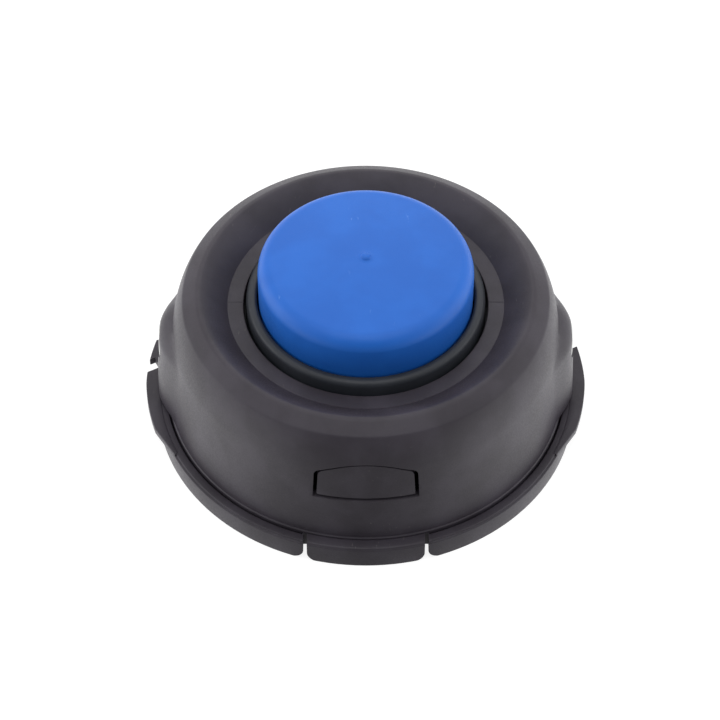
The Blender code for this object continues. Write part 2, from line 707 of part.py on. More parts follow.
def add_latches(housing):
    """The two latch arms, and the hooks that reach out into the cover's windows."""
    arm_shell = turned("arm_shell", shell_profile(
        LATCH_INSET, LATCH_INSET + LATCH_ARM_THICKNESS, 0.0), COVER_FACETS)
    hook_shell = turned("hook_shell", shell_profile(
        SEAT_GAP, LATCH_INSET + LATCH_ARM_THICKNESS / 2, 0.0), COVER_FACETS)
    half = WINDOW_WIDTH / 2 - LATCH_SIDE_GAP
    base = FLOOR_TOP - EMBED
    top = WINDOW_BOTTOM + WINDOW_HEIGHT - WINDOW_ARCH
    arm_outline = [(-half, base), (half, base), (half, top), (-half, top)]
    hook_outline = window_outline(LATCH_SIDE_GAP, LATCH_SEAT_GAP, LATCH_TOP_GAP)
    for index, side in enumerate((-1, 1)):
        arm = outline_solid(f"latch_arm_{index}", arm_outline, LATCH_CUT_DEPTH, facing_y(side))
        combine(arm, arm_shell, "INTERSECT")
        combine(housing, arm, "UNION")
        hook = outline_solid(f"latch_hook_{index}", hook_outline, LATCH_CUT_DEPTH, facing_y(side))
        combine(hook, hook_shell, "INTERSECT")
        combine(housing, hook, "UNION")


def add_housing():
    """Black moulded housing on the drive side."""
    housing = turned("housing", housing_profile(), COVER_FACETS, shift=0.5)
    post = turned("post", post_profile(), SMALL_FACETS, shift=0.1)
    combine(housing, post, "UNION")
    under_floor = FLOOR_TOP - FLOOR_THICKNESS
    ribs = radial_ribs("under_ribs", UNDER_RIBS, HUB_RADIUS - EMBED, RIM_RADIUS - SKIRT_WALL / 2,
                       HUB_RECESS, under_floor + EMBED, RIB_THICKNESS, 180.0 / UNDER_RIBS)
    combine(housing, ribs, "UNION")
    add_ledges(housing)
    add_tabs(housing)
    add_towers(housing)
    add_latches(housing)
    dogs = polar_dogs("housing_dogs", FLOOR_TOP - EMBED, FLOOR_TOP + LOWER_DOG_HEIGHT,
                      180.0 / DOG_COUNT)
    combine(housing, dogs, "UNION")
    slot_depth = RIM_WIDTH + RIM_CHAMFER
    for side in (-1, 1):
        for hand in (-1, 1):
            x = hand * (TAB_WIDTH + RIM_SLOT_WIDTH) / 2
            y = side * math.sqrt(RIM_RADIUS**2 - x**2)
            slot = box(f"rim_slot_{side}_{hand}", (RIM_SLOT_WIDTH, 2 * slot_depth, 4 * RIM_HEIGHT),
                       place(x, y, RIM_HEIGHT))
            combine(housing, slot, "DIFFERENCE")
    hex_top = HUB_RECESS + 2 * SEAT_GAP + INSERT_HEX_HEIGHT
    pocket = rod("hex_pocket", HEX_POCKET_RADIUS, hex_top, 6, place(z=hex_top / 2))
    combine(housing, pocket, "DIFFERENCE")
    shank_top = HUB_RECESS + INSERT_HEIGHT + 2 * SEAT_GAP
    shank = rod("shank_bore", INSERT_SHANK_RADIUS + SEAT_GAP, shank_top, SMALL_FACETS,
                place(z=shank_top / 2))
    combine(housing, shank, "DIFFERENCE")
    settle(housing, BLACK)


def add_insert():
    """Steel insert with a hexagonal head, whose bore takes the thread of the drive shaft."""
    hexagon = INSERT_HEX / 2 / math.cos(math.radians(30))
    bottom = HUB_RECESS + SEAT_GAP
    insert = rod("threaded_insert", hexagon, INSERT_HEX_HEIGHT, 6,
                 place(z=bottom + INSERT_HEX_HEIGHT / 2))
    shank_height = INSERT_HEIGHT - EMBED
    shank = rod("insert_shank", INSERT_SHANK_RADIUS, shank_height, SMALL_FACETS,
                place(z=bottom + EMBED + shank_height / 2))
    combine(insert, shank, "UNION")
    bore = rod("insert_bore", INSERT_BORE, 4 * INSERT_HEIGHT, SMALL_FACETS, place(z=bottom))
    combine(insert, bore, "DIFFERENCE")
    settle(insert, STEEL)


def add_eyelets():
    """Two steel sleeves with rounded mouths, one turned half a turn about Z."""
    length = EYELET_OUTER_END - EYELET_INNER_END
    flange = EYELET_FLANGE_THICKNESS
    lip = (EYELET_RADIUS - EYELET_BORE) / 2
    profile = [
        (EYELET_RADIUS, length),
        (EYELET_RADIUS, flange),
        (EYELET_FLANGE_RADIUS, flange),
        (EYELET_FLANGE_RADIUS, 0.0),
        *arc((EYELET_BORE + lip, lip), (lip, lip), 270, 180, 2),
        *arc((EYELET_BORE + lip, length - lip), (lip, lip), 180, 90, 2),
    ]
    for name, turn in (("eyelet_left", 180.0), ("eyelet_right", 0.0)):
        eyelet = turned(name, profile, EYELET_FACETS)
        eyelet.rotation_euler = (0, math.radians(90), math.radians(turn))
        side = math.cos(math.radians(turn))
        eyelet.location = (side * EYELET_INNER_END, 0, EYELET_HEIGHT)
        settle(eyelet, STEEL)


def add_spring(parent):
    """Compression spring round the post, with a closed turn at each end."""
    bottom = FLOOR_TOP + SEAT_GAP + SPRING_WIRE
    top = WASHER_BOTTOM - SEAT_GAP - SPRING_WIRE
    open_pitch = (top - bottom - 2 * CLOSED_PITCH) / (SPRING_TURNS - 2)
    curve = bpy.data.curves.new("spring", "CURVE")
    curve.dimensions = "3D"
    curve.bevel_depth = SPRING_WIRE
    curve.bevel_resolution = 1
    curve.use_fill_caps = True
    spline = curve.splines.new("POLY")
    count = SPRING_TURNS * SPRING_POINTS_PER_TURN
    spline.points.add(count)
    for step, point in enumerate(spline.points):
        turns = step / SPRING_POINTS_PER_TURN
        closed = min(turns, 1.0) + max(turns - (SPRING_TURNS - 1), 0.0)
        height = bottom + closed * CLOSED_PITCH + (turns - closed) * open_pitch
        angle = 2 * math.pi * turns
        point.co = (SPRING_RADIUS * math.cos(angle), SPRING_RADIUS * math.sin(angle), height, 1.0)
    spring = bpy.data.objects.new("spring", curve)
    PIECES.objects.link(spring)
    curve.materials.append(STEEL)
    spring.parent = parent


def add_thrust_washer(parent):
    """Steel washer on which the spool turns against the spring."""
    inner = WEB_BORE + SEAT_GAP
    washer = turned("thrust_washer", [
        (inner + WASHER_WIDTH, WASHER_TOP),
        (inner + WASHER_WIDTH, WASHER_BOTTOM),
        (inner, WASHER_BOTTOM),
        (inner, WASHER_TOP),
    ], SMALL_FACETS)
    settle(washer, STEEL, parent)


def spool_profile():
    """Section of the spool: flanges, divider, core, collar ring and the boss of the bearing."""
    rounding = COLLAR_ROUNDING
    collar_crest = arc((COLLAR_RADIUS - rounding, COLLAR_TOP - rounding), (rounding, rounding),
                       90, 0, 3)
    seat_bottom = BEARING_BOTTOM - SEAT_GAP
    groove_bottom = CIRCLIP_BOTTOM - SEAT_GAP
    groove_top = CIRCLIP_BOTTOM + CLIP_THICKNESS + SEAT_GAP
    neck = WEB_BORE + BOSS_WALL
    cavity = CORE_RADIUS - CORE_WALL
    return [
        (COLLAR_INNER, COLLAR_TOP - rounding / 2),
        *collar_crest,
        (COLLAR_RADIUS, UPPER_FLANGE_TOP),
        (SPOOL_RADIUS, UPPER_FLANGE_TOP),
        (SPOOL_RADIUS, UPPER_FLANGE_BOTTOM),
        (CORE_RADIUS, UPPER_FLANGE_BOTTOM),
        (CORE_RADIUS, DIVIDER_TOP),
        (SPOOL_RADIUS, DIVIDER_TOP),
        (SPOOL_RADIUS, DIVIDER_BOTTOM),
        (CORE_RADIUS, DIVIDER_BOTTOM),
        (CORE_RADIUS, LOWER_FLANGE_TOP),
        (SPOOL_RADIUS, LOWER_FLANGE_TOP),
        (SPOOL_RADIUS, LOWER_FLANGE_BOTTOM),
        (cavity, LOWER_FLANGE_BOTTOM),
        (cavity, WEB_BOTTOM),
        (WEB_BORE, WEB_BOTTOM),
        (WEB_BORE, seat_bottom),
        (BEARING_SEAT, seat_bottom),
        (BEARING_SEAT, groove_bottom),
        (BEARING_SEAT + CLIP_GROOVE, groove_bottom),
        (BEARING_SEAT + CLIP_GROOVE, groove_top),
        (BEARING_SEAT, groove_top),
        (BEARING_SEAT, BOSS_TOP),
        (BOSS_RADIUS, BOSS_TOP),
        (BOSS_RADIUS, seat_bottom - BOSS_WALL),
        (neck, seat_bottom - 2 * BOSS_WALL),
        (neck, WEB_TOP),
        (cavity, WEB_TOP),
        (cavity, UPPER_FLANGE_TOP),
        (COLLAR_INNER, UPPER_FLANGE_TOP),
    ]


def add_spool(parent):
    """Black moulded spool with two winding chambers and dogs on both flanges."""
    spool = turned("spool", spool_profile(), SPOOL_FACETS)
    upper = polar_dogs("spool_upper_dogs", UPPER_FLANGE_TOP - EMBED, UPPER_DOG_TIP, 0.0)
    combine(spool, upper, "UNION")
    lower = polar_dogs("spool_lower_dogs", LOWER_FLANGE_BOTTOM + EMBED, LOWER_DOG_TIP, 0.0)
    combine(spool, lower, "UNION")
    ribs = radial_ribs("spool_ribs", SPOOL_RIBS, WEB_BORE + BOSS_WALL / 2, CORE_RADIUS - CORE_WALL / 2,
                       WEB_TOP - EMBED, UPPER_FLANGE_TOP - EMBED, SPOOL_RIB_THICKNESS,
                       180.0 / SPOOL_RIBS)
    combine(spool, ribs, "UNION")
    depth = DIVIDER_NOTCH_DEPTH
    for side in (-1, 1):
        notch = box(f"divider_notch_{side}", (DIVIDER_NOTCH_WIDTH, 2 * depth, CHAMBER_HEIGHT),
                    place(0, side * SPOOL_RADIUS, (DIVIDER_BOTTOM + DIVIDER_TOP) / 2))
        combine(spool, notch, "DIFFERENCE")
        turn = math.radians(90.0 + side * 180.0 / DOG_COUNT)
        slit = box(f"line_slit_{side}", (2 * LINE_SLIT_DEPTH, LINE_SLIT_WIDTH, CHAMBER_HEIGHT),
                   place(side * SPOOL_RADIUS * math.sin(turn), side * SPOOL_RADIUS * math.cos(turn),
                         UPPER_FLANGE_BOTTOM + FLANGE_THICKNESS / 2, turn=90.0 - math.degrees(turn)))
        combine(spool, slit, "DIFFERENCE")
    for index, height in enumerate((LOWER_FLANGE_TOP, DIVIDER_TOP)):
        middle = height + CHAMBER_HEIGHT / 2
        anchor = rod(f"anchor_hole_{index}", ANCHOR_HOLE_RADIUS, 4 * CORE_WALL, HOLE_FACETS,
                     along_x(CORE_RADIUS, middle))
        combine(spool, anchor, "DIFFERENCE")
    settle(spool, BLACK, parent)


def race_profile(shoulder, back):
    """Section of a bearing race between its ball groove's shoulder and its plain back."""
    away = 1 if shoulder > back else -1
    reach = abs(shoulder - PITCH_RADIUS)
    half_open = math.degrees(math.acos(reach / POCKET_RADIUS))
    toward = 180.0 if away > 0 else 0.0
    hollow = arc((PITCH_RADIUS, BEARING_MIDDLE), (POCKET_RADIUS, POCKET_RADIUS),
                 toward - half_open, toward + half_open, 3)
    if hollow[0][1] > hollow[-1][1]:
        hollow.reverse()
    return [(back, BEARING_BOTTOM), (shoulder, BEARING_BOTTOM), *hollow,
            (shoulder, BEARING_TOP), (back, BEARING_TOP)]


def add_bearing(spool_parent, button_parent, cage_parent):
    """Deep groove ball bearing of eight balls between the spool and the button."""
    outer_shoulder = BEARING_RADIUS - RACE_WALL
    inner_shoulder = BEARING_BORE + RACE_WALL
    outer = turned("bearing_outer_race", race_profile(outer_shoulder, BEARING_RADIUS), SMALL_FACETS)
    settle(outer, STEEL, spool_parent)
    inner = turned("bearing_inner_race", race_profile(inner_shoulder, BEARING_BORE), SMALL_FACETS)
    settle(inner, STEEL, button_parent)
    half_height = POCKET_RADIUS + CAGE_RIM
    half_width = CAGE_THICKNESS / 2
    cage = turned("bearing_cage", [
        (PITCH_RADIUS + half_width, BEARING_MIDDLE + half_height),
        (PITCH_RADIUS + half_width, BEARING_MIDDLE - half_height),
        (PITCH_RADIUS - half_width, BEARING_MIDDLE - half_height),
        (PITCH_RADIUS - half_width, BEARING_MIDDLE + half_height),
    ], SMALL_FACETS)
    ball_shape = bmesh.new()
    bmesh.ops.create_icosphere(ball_shape, subdivisions=2, radius=BALL_RADIUS)
    ball_mesh = bpy.data.meshes.new("ball")
    ball_shape.to_mesh(ball_mesh)
    ball_shape.free()
    ball_mesh.shade_smooth()
    ball_mesh.materials.append(STEEL)
    for index in range(BALL_COUNT):
        turn = Matrix.Rotation(2 * math.pi * index / BALL_COUNT, 4, "Z")
        pocket = rod(f"ball_pocket_{index}", POCKET_RADIUS, 4 * CAGE_THICKNESS, HOLE_FACETS,
                     turn @ along_x(PITCH_RADIUS, BEARING_MIDDLE))
        combine(cage, pocket, "DIFFERENCE")
        ball = add_object(f"bearing_ball_{index + 1}", ball_mesh)
        ball.location = turn @ Vector((PITCH_RADIUS, 0, BEARING_MIDDLE))
        ball.parent = cage_parent
    settle(cage, BRASS, cage_parent)
    seal_middle = (BEARING_WIDTH - SEAL_THICKNESS) / 2 - SEAL_INSET
    inner_edge = inner_shoulder + SEAT_GAP
    outer_edge = outer_shoulder - SEAT_GAP
    half = SEAL_THICKNESS / 2
    for name, side in (("bearing_seal_lower", -1), ("bearing_seal_upper", 1)):
        seal = turned(name, [(outer_edge, half), (outer_edge, -half), (inner_edge, -half),
                             (inner_edge, half)], SMALL_FACETS)
        seal.location.z = BEARING_MIDDLE + side * seal_middle
        settle(seal, RUBBER, spool_parent)


def open_ring(name, inner, outer, bottom, half_opening):
    """A flat spring clip: a ring with an opening at +X."""
    top = bottom + CLIP_THICKNESS
    profile = [(inner, bottom), (outer, bottom), (outer, top), (inner, top)]
    return sector(name, profile, half_opening, FULL_TURN - half_opening, SMALL_FACETS // 2)


def add_clips(spool_parent, button_parent):
    """The circlip that holds the outer race, and the clip on the button's stub."""
    outer = BEARING_SEAT + CLIP_GROOVE - SEAT_GAP
    inner = outer - CIRCLIP_WIDTH
    circlip = open_ring("bearing_circlip", inner, outer, CIRCLIP_BOTTOM, CIRCLIP_HALF_ANGLE)
    middle = CIRCLIP_BOTTOM + CLIP_THICKNESS / 2
    lug_thickness = CLIP_THICKNESS - 2 * CIRCLIP_LUG_INSET
    for index, turn in enumerate((-CIRCLIP_HALF_ANGLE, CIRCLIP_HALF_ANGLE)):
        angle = math.radians(turn)
        at_end = place(inner * math.cos(angle), inner * math.sin(angle), middle)
        lug = rod(f"circlip_lug_{index}", CIRCLIP_LUG_RADIUS, lug_thickness, HOLE_FACETS, at_end)
        combine(circlip, lug, "UNION")
        eye = rod(f"circlip_eye_{index}", CIRCLIP_EYE_RADIUS, 2 * CLIP_THICKNESS, HOLE_FACETS, at_end)
        combine(circlip, eye, "DIFFERENCE")
    settle(circlip, STEEL, spool_parent)
    inner = STUB_RADIUS - CLIP_GROOVE + SEAT_GAP
    clip = open_ring("button_clip", inner, inner + BUTTON_CLIP_WIDTH, BUTTON_CLIP_BOTTOM,
                     BUTTON_CLIP_HALF_ANGLE)
    settle(clip, STEEL, button_parent)


def add_button(parent):
    """Blue moulded tap button: a cup with inner ribs and a stub that carries the bearing."""
    edge_radius = BUTTON_RADIUS - BUTTON_ROUNDING
    edge_top = BUTTON_TOP - BUTTON_CROWN
    crown = []
    for step in range(1, 3):
        radius = edge_radius * step / 3
        crown.append((radius, BUTTON_TOP - BUTTON_CROWN * (step / 3) ** 2))
    rounding = arc((edge_radius, edge_top - BUTTON_ROUNDING), (BUTTON_ROUNDING, BUTTON_ROUNDING),
                   90, 0, 3)
    wall = BUTTON_RADIUS - BUTTON_WALL
    ceiling = edge_top - BUTTON_WALL
    shoulder = STUB_RADIUS + STUB_SHOULDER
    groove_top = BEARING_BOTTOM
    neck = STUB_RADIUS - CLIP_GROOVE
    profile = [
        (0.0, BUTTON_TOP),
        *crown,
        *rounding,
        (BUTTON_RADIUS, BUTTON_BOTTOM),
        (wall, BUTTON_BOTTOM),
        (wall, ceiling - BUTTON_WALL),
        (wall - BUTTON_WALL, ceiling),
        (shoulder, ceiling),
        (shoulder, BEARING_TOP + SEAT_GAP),
        (STUB_RADIUS, BEARING_TOP + SEAT_GAP),
        (STUB_RADIUS, groove_top),
        (neck, groove_top),
        (neck, STUB_GROOVE_BOTTOM),
        (STUB_RADIUS, STUB_GROOVE_BOTTOM),
        (STUB_RADIUS, STUB_BOTTOM),
        (0.0, STUB_BOTTOM),
    ]
    button = turned("tap_button", profile, SPOOL_FACETS, closed=False)
    ribs = radial_ribs("button_ribs", BUTTON_RIBS, shoulder - EMBED, wall + EMBED,
                       BOSS_TOP + BUTTON_SKIRT_GAP, ceiling + EMBED, BUTTON_RIB_THICKNESS)
    combine(button, ribs, "UNION")
    nub = rod("gate_nub", NUB_RADIUS, 2 * NUB_HEIGHT, HOLE_FACETS, place(z=BUTTON_TOP))
    combine(button, nub, "UNION")
    settle(button, BLUE, parent)


def add_empty(name, height, parent=None):
    """An empty on the axis, from which moving pieces hang."""
    empty = bpy.data.objects.new(name, None)
    empty.empty_display_size = CORE_RADIUS
    PIECES.objects.link(empty)
    empty.parent = parent
    empty.location.z = height
    return empty


def main():
    """Build every piece and hang it from the empty of the body that moves it."""
    carriage = add_empty("tap_carriage", 0.0)
    rotor = add_empty("spool_rotor", 0.0, carriage)
    button_rotor = add_empty("button_rotor", 0.0, rotor)
    cage_rotor = add_empty("cage_rotor", 0.0, rotor)
    add_housing()
    add_insert()
    add_eyelets()
    add_cover()
    add_spring(carriage)
    add_thrust_washer(carriage)
    add_spool(rotor)
    add_bearing(rotor, button_rotor, cage_rotor)
    add_clips(rotor, button_rotor)
    add_button(button_rotor)


clear_scene()
PIECES = new_collection("trimmer_head")
CUTTERS = new_collection("cutters", hidden=True)
BLACK = material("black_moulded_nylon", (0.022, 0.021, 0.023), 0.55)
BLUE = material("blue_moulded_nylon", (0.06, 0.19, 0.58), 0.45)
STEEL = material("zinc_plated_steel", (0.56, 0.56, 0.55), 0.35, 1.0)
BRASS = material("brass", (0.62, 0.45, 0.2), 0.35, 1.0)
RUBBER = material("nitrile_rubber", (0.015, 0.015, 0.015), 0.7)
main()
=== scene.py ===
"""Looks of the tap-feed trimmer head: smooth moulded shells, turned hardware, finishes, light and camera.

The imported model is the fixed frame. Every class below builds one sub-assembly in the frame's own place, in
metres with +Z along the axis of rotation, and dresses it in the finish that the real piece has.
"""

import logging
import math
from collections.abc import Callable, Sequence
from dataclasses import dataclass
from enum import Enum

import bmesh
import bpy
from mathutils import Matrix, Vector


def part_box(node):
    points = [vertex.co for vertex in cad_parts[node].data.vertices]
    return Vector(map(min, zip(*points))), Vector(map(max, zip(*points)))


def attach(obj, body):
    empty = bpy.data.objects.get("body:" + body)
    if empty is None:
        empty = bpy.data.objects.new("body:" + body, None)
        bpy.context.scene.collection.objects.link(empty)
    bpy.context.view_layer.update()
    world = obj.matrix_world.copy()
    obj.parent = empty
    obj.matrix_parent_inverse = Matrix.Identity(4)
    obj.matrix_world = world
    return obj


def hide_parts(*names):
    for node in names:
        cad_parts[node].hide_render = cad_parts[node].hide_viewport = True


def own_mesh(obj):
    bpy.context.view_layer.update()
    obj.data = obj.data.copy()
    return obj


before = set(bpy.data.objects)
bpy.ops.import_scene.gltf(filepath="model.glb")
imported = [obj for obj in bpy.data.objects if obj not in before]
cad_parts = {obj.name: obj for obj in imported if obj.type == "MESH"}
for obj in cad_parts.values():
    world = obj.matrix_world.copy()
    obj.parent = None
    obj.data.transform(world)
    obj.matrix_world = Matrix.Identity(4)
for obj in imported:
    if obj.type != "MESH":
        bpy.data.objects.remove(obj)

LOG = logging.getLogger("trimmer_head")

MM = 0.001
WELD = 1e-7
# Facets round a full turn. The rim's count puts none of its facet lines close beside a slot.
COVER_TURN = 288
RIM_TURN = 144
SPOOL_TURN = 144
SMALL_TURN = 72
ARC_STEPS = 5
SHARP_DEGREES = 34.0
# How far in millimetres a shape sinks into the one that it is joined to.
OVERLAP = 0.3
# Blocks that cut windows and shape latches: depth in millimetres, and how far their middle is set in.
WINDOW_BLOCK = 16.0
WINDOW_INSET = 8.0

Outline = list[tuple[float, float]]
Corner = tuple[float, float, float]


class Join(Enum):
    """What a tool does to the piece that it meets."""

    ADD = "UNION"
    CUT = "DIFFERENCE"
    TRIM = "INTERSECT"


class Side(Enum):
    """The two latches, by the direction that they face along Y."""

    FRONT = -1
    BACK = 1


class Hand(Enum):
    """The two line outlets, by their direction along X."""

    LEFT = -1
    RIGHT = 1


# Outlines and shapes


def rounded(corners: Sequence[Corner], steps: int = ARC_STEPS) -> Outline:
    """Rounds the corners of an outline.

    Args:
        corners: Each corner's two coordinates and its rounding radius, in millimetres.
        steps: Facets of each rounded corner.

    Returns:
        The outline's points, in metres.
    """
    points: Outline = []
    for index, (across, up, radius) in enumerate(corners):
        corner = Vector((across, up))
        if radius == 0.0:
            points.append((across * MM, up * MM))
            continue
        before = (Vector(corners[index - 1][:2]) - corner).normalized()
        after = (Vector(corners[(index + 1) % len(corners)][:2]) - corner).normalized()
        half = before.angle(after) / 2
        centre = corner + (before + after).normalized() * radius / math.sin(half)
        start = corner + before * radius / math.tan(half) - centre
        end = corner + after * radius / math.tan(half) - centre
        sweep = math.atan2(start.x * end.y - start.y * end.x, start.dot(end))
        for step in range(steps + 1):
            turn = sweep * step / steps
            x = centre.x + start.x * math.cos(turn) - start.y * math.sin(turn)
            y = centre.y + start.x * math.sin(turn) + start.y * math.cos(turn)
            points.append((x * MM, y * MM))
    return points


def curve(start: float, end: float, steps: int, at: Callable[[float], tuple[float, float]]) -> list[Corner]:
    """Samples a curve as unrounded corners.

    Args:
        start: First value of the parameter.
        end: Last value of the parameter.
        steps: Number of stretches between samples.
        at: Gives the curve's point in millimetres.

    Returns:
        The corners along the curve.
    """
    values = [start + (end - start) * step / steps for step in range(steps + 1)]
    return [(*at(value), 0.0) for value in values]


def tidied(shape: bmesh.types.BMesh) -> bmesh.types.BMesh:
    """Merges a shape's doubles and turns its faces outwards.

    Args:
        shape: The closed shape, which is changed.

    Returns:
        The same shape.
    """
    bmesh.ops.remove_doubles(shape, verts=shape.verts[:], dist=WELD)
    bmesh.ops.recalc_face_normals(shape, faces=shape.faces[:])
    return shape


def lathe(outline: Outline, turn: int, closed: bool = True) -> bmesh.types.BMesh:
    """Spins an outline about Z.

    Args:
        outline: Radius and height of each point. An open one has both its ends on the axis.
        turn: Facets of the full turn.
        closed: Whether the last point joins the first.

    Returns:
        The closed skin.
    """
    shape = bmesh.new()
    corners = [shape.verts.new((radius, 0.0, height)) for radius, height in outline]
    following = corners[1:] + corners[:1] if closed else corners[1:]
    edges = [shape.edges.new(pair) for pair in zip(corners, following)]
    bmesh.ops.spin(
        shape, geom=[*corners, *edges], cent=(0, 0, 0), axis=(0, 0, 1),
        angle=2 * math.pi, steps=turn, use_merge=True,
    )
    return tidied(shape)


def sector(outline: Outline, start: float, end: float, steps: int) -> bmesh.types.BMesh:
    """Sweeps a closed outline about Z, with closed ends.

    Args:
        outline: Radius and height of each point, in metres.
        start: Angle in degrees at which the sweep starts.
        end: Angle at which it ends.
        steps: Facets of the sweep.

    Returns:
        The closed shape.
    """
    shape = bmesh.new()
    corners = [shape.verts.new((radius, 0.0, height)) for radius, height in outline]
    face = shape.faces.new(corners)
    bmesh.ops.rotate(shape, verts=corners, matrix=Matrix.Rotation(math.radians(start), 3, "Z"))
    bmesh.ops.spin(
        shape, geom=[face, *face.edges, *corners], cent=(0, 0, 0), axis=(0, 0, 1),
        angle=math.radians(end - start), steps=steps,
    )
    return tidied(shape)


def prism(outline: Outline, depth: float, place: Matrix, edge: float = 0.0) -> bmesh.types.BMesh:
    """Gives a flat outline a thickness, half of it on each side of its plane.

    Args:
        outline: The outline's points in its own plane, in metres.
        depth: Thickness in millimetres.
        place: Where the outline's plane lies.
        edge: Bevel of the two outline edges in millimetres, or 0 for none.

    Returns:
        The closed prism.
    """
    shape = bmesh.new()
    corners = [shape.verts.new((x, y, -depth * MM / 2)) for x, y in outline]
    face = shape.faces.new(corners)
    swept = bmesh.ops.extrude_face_region(shape, geom=[face])["geom"]
    moved = [item for item in swept if isinstance(item, bmesh.types.BMVert)]
    bmesh.ops.translate(shape, verts=moved, vec=(0, 0, depth * MM))
    tidied(shape)
    if edge:
        rims = [item for item in shape.edges if abs(item.verts[0].co.z - item.verts[1].co.z) < WELD]
        bmesh.ops.bevel(
            shape, geom=rims, offset=edge * MM, segments=3, profile=0.5, affect="EDGES", material=-1,
        )
    bmesh.ops.transform(shape, matrix=place, verts=shape.verts[:])
    return shape


def block(size: tuple[float, float, float], place: Matrix, edge: float = 0.0) -> bmesh.types.BMesh:
    """Makes a block.

    Args:
        size: Its sides in millimetres.
        place: Where its middle lies, and how it is turned.
        edge: Bevel of its edges in millimetres, or 0 for none.

    Returns:
        The closed block.
    """
    shape = bmesh.new()
    bmesh.ops.create_cube(shape, size=1.0)
    bmesh.ops.scale(shape, vec=Vector(size) * MM, verts=shape.verts[:])
    if edge:
        bmesh.ops.bevel(
            shape, geom=shape.edges[:], offset=edge * MM, segments=2, profile=0.5,
            affect="EDGES", material=-1,
        )
    bmesh.ops.transform(shape, matrix=place, verts=shape.verts[:])
    return shape


def drum(radius: float, length: float, facets: int, place: Matrix) -> bmesh.types.BMesh:
    """Makes a cylinder.

    Args:
        radius: Its radius in millimetres.
        length: Its length, along Z before it is placed.
        facets: Facets of the full turn.
        place: Where its middle lies, and how it is turned.

    Returns:
        The closed cylinder.
    """
    shape = bmesh.new()
    bmesh.ops.create_cone(
        shape, cap_ends=True, segments=facets, radius1=radius * MM, radius2=radius * MM,
        depth=length * MM,
    )
    bmesh.ops.transform(shape, matrix=place, verts=shape.verts[:])
    return shape


def grouped(shapes: Sequence[bmesh.types.BMesh]) -> bmesh.types.BMesh:
    """Puts several closed shapes that stand apart into one.

    Args:
        shapes: The shapes, which are used up.

    Returns:
        One shape that holds them all.
    """
    group = bmesh.new()
    for shape in shapes:
        mesh = bpy.data.meshes.new("grouped")
        shape.to_mesh(mesh)
        shape.free()
        group.from_mesh(mesh)
        bpy.data.meshes.remove(mesh)
    return group


def at(x: float = 0.0, y: float = 0.0, z: float = 0.0, turn: float = 0.0) -> Matrix:
    """A place in millimetres, after a turn about Z in degrees."""
    return Matrix.Translation(Vector((x, y, z)) * MM) @ Matrix.Rotation(math.radians(turn), 4, "Z")


def round_axis(angle: float, radius: float, height: float) -> Matrix:
    """A place at an angle in degrees about the axis, with its own X pointing outwards."""
    return Matrix.Rotation(math.radians(angle), 4, "Z") @ at(radius, 0.0, height)


LYING_ALONG_X = Matrix.Rotation(math.radians(90), 4, "Y")
FACING_Y = Matrix.Rotation(math.radians(90), 4, "X")
FACING_X = Matrix.Rotation(math.radians(90), 4, "Z") @ Matrix.Rotation(math.radians(90), 4, "X")


def made(name: str, shape: bmesh.types.BMesh) -> bpy.types.Object:
    """Turns a shape into an object of the scene.

    Args:
        name: The object's name.
        shape: The shape, which is used up.

    Returns:
        The object, at the origin.
    """
    mesh = bpy.data.meshes.new(name)
    shape.to_mesh(mesh)
    shape.free()
    piece = bpy.data.objects.new(name, mesh)
    bpy.context.scene.collection.objects.link(piece)
    return piece


def worked(piece: bpy.types.Object, how: Join, shape: bmesh.types.BMesh) -> None:
    """Joins, cuts or trims a piece with a shape, which is used up.

    Args:
        piece: The piece to work on.
        how: What the shape does to it.
        shape: A closed shape that faces outwards.
    """
    tool = made(f"{piece.name}_tool", shape)
    step = piece.modifiers.new(how.name.lower(), "BOOLEAN")
    step.operation = how.value
    step.solver = "EXACT"
    step.object = tool
    bpy.context.view_layer.update()
    evaluated = piece.evaluated_get(bpy.context.evaluated_depsgraph_get())
    mesh = bpy.data.meshes.new_from_object(evaluated)
    piece.modifiers.clear()
    spent = (piece.data, tool.data)
    piece.data = mesh
    bpy.data.objects.remove(tool)
    for old in spent:
        bpy.data.meshes.remove(old)


def dogs(inner: float, outer: float, root: float, tip: float, phase: float) -> bmesh.types.BMesh:
    """The ring of saw-toothed dogs through which the head drives the spool.

    Args:
        inner: Radius of the dogs' inner ends in millimetres.
        outer: Radius of their outer ends.
        root: Height of their feet.
        tip: Height of their tips.
        phase: Angle of the first dog in degrees.

    Returns:
        The dogs, each a closed shape with one steep side and one ramp.
    """
    count, foot, drive_inset, ramp_inset = 12, 6.5, 1.0, 5.0
    teeth = []
    for index in range(count):
        tooth = bmesh.new()
        bmesh.ops.create_cube(tooth, size=1.0)
        for corner in tooth.verts:
            ahead = corner.co.y > 0
            at_tip = (corner.co.z > 0) == (tip > root)
            half = foot - (ramp_inset if ahead else drive_inset) * at_tip
            angle = math.radians(phase + 360 * index / count + (half if ahead else -half))
            radius = (outer if corner.co.x > 0 else inner) * MM
            height = (max(root, tip) if corner.co.z > 0 else min(root, tip)) * MM
            corner.co = (radius * math.cos(angle), radius * math.sin(angle), height)
        teeth.append(tidied(tooth))
    return grouped(teeth)


def spokes(count: int, span: tuple[float, float], rise: tuple[float, float], width: float,
           phase: float) -> bmesh.types.BMesh:
    """Straight ribs like spokes.

    Args:
        count: How many.
        span: Inner and outer radius in millimetres.
        rise: Lower and upper height.
        width: Thickness of a rib.
        phase: Angle of the first rib in degrees.

    Returns:
        The ribs, each a closed block with bevelled edges.
    """
    size = (span[1] - span[0], width, rise[1] - rise[0])
    middle = (sum(span) / 2, sum(rise) / 2)
    return grouped([
        block(size, round_axis(phase + 360 * index / count, *middle), edge=0.25)
        for index in range(count)
    ])


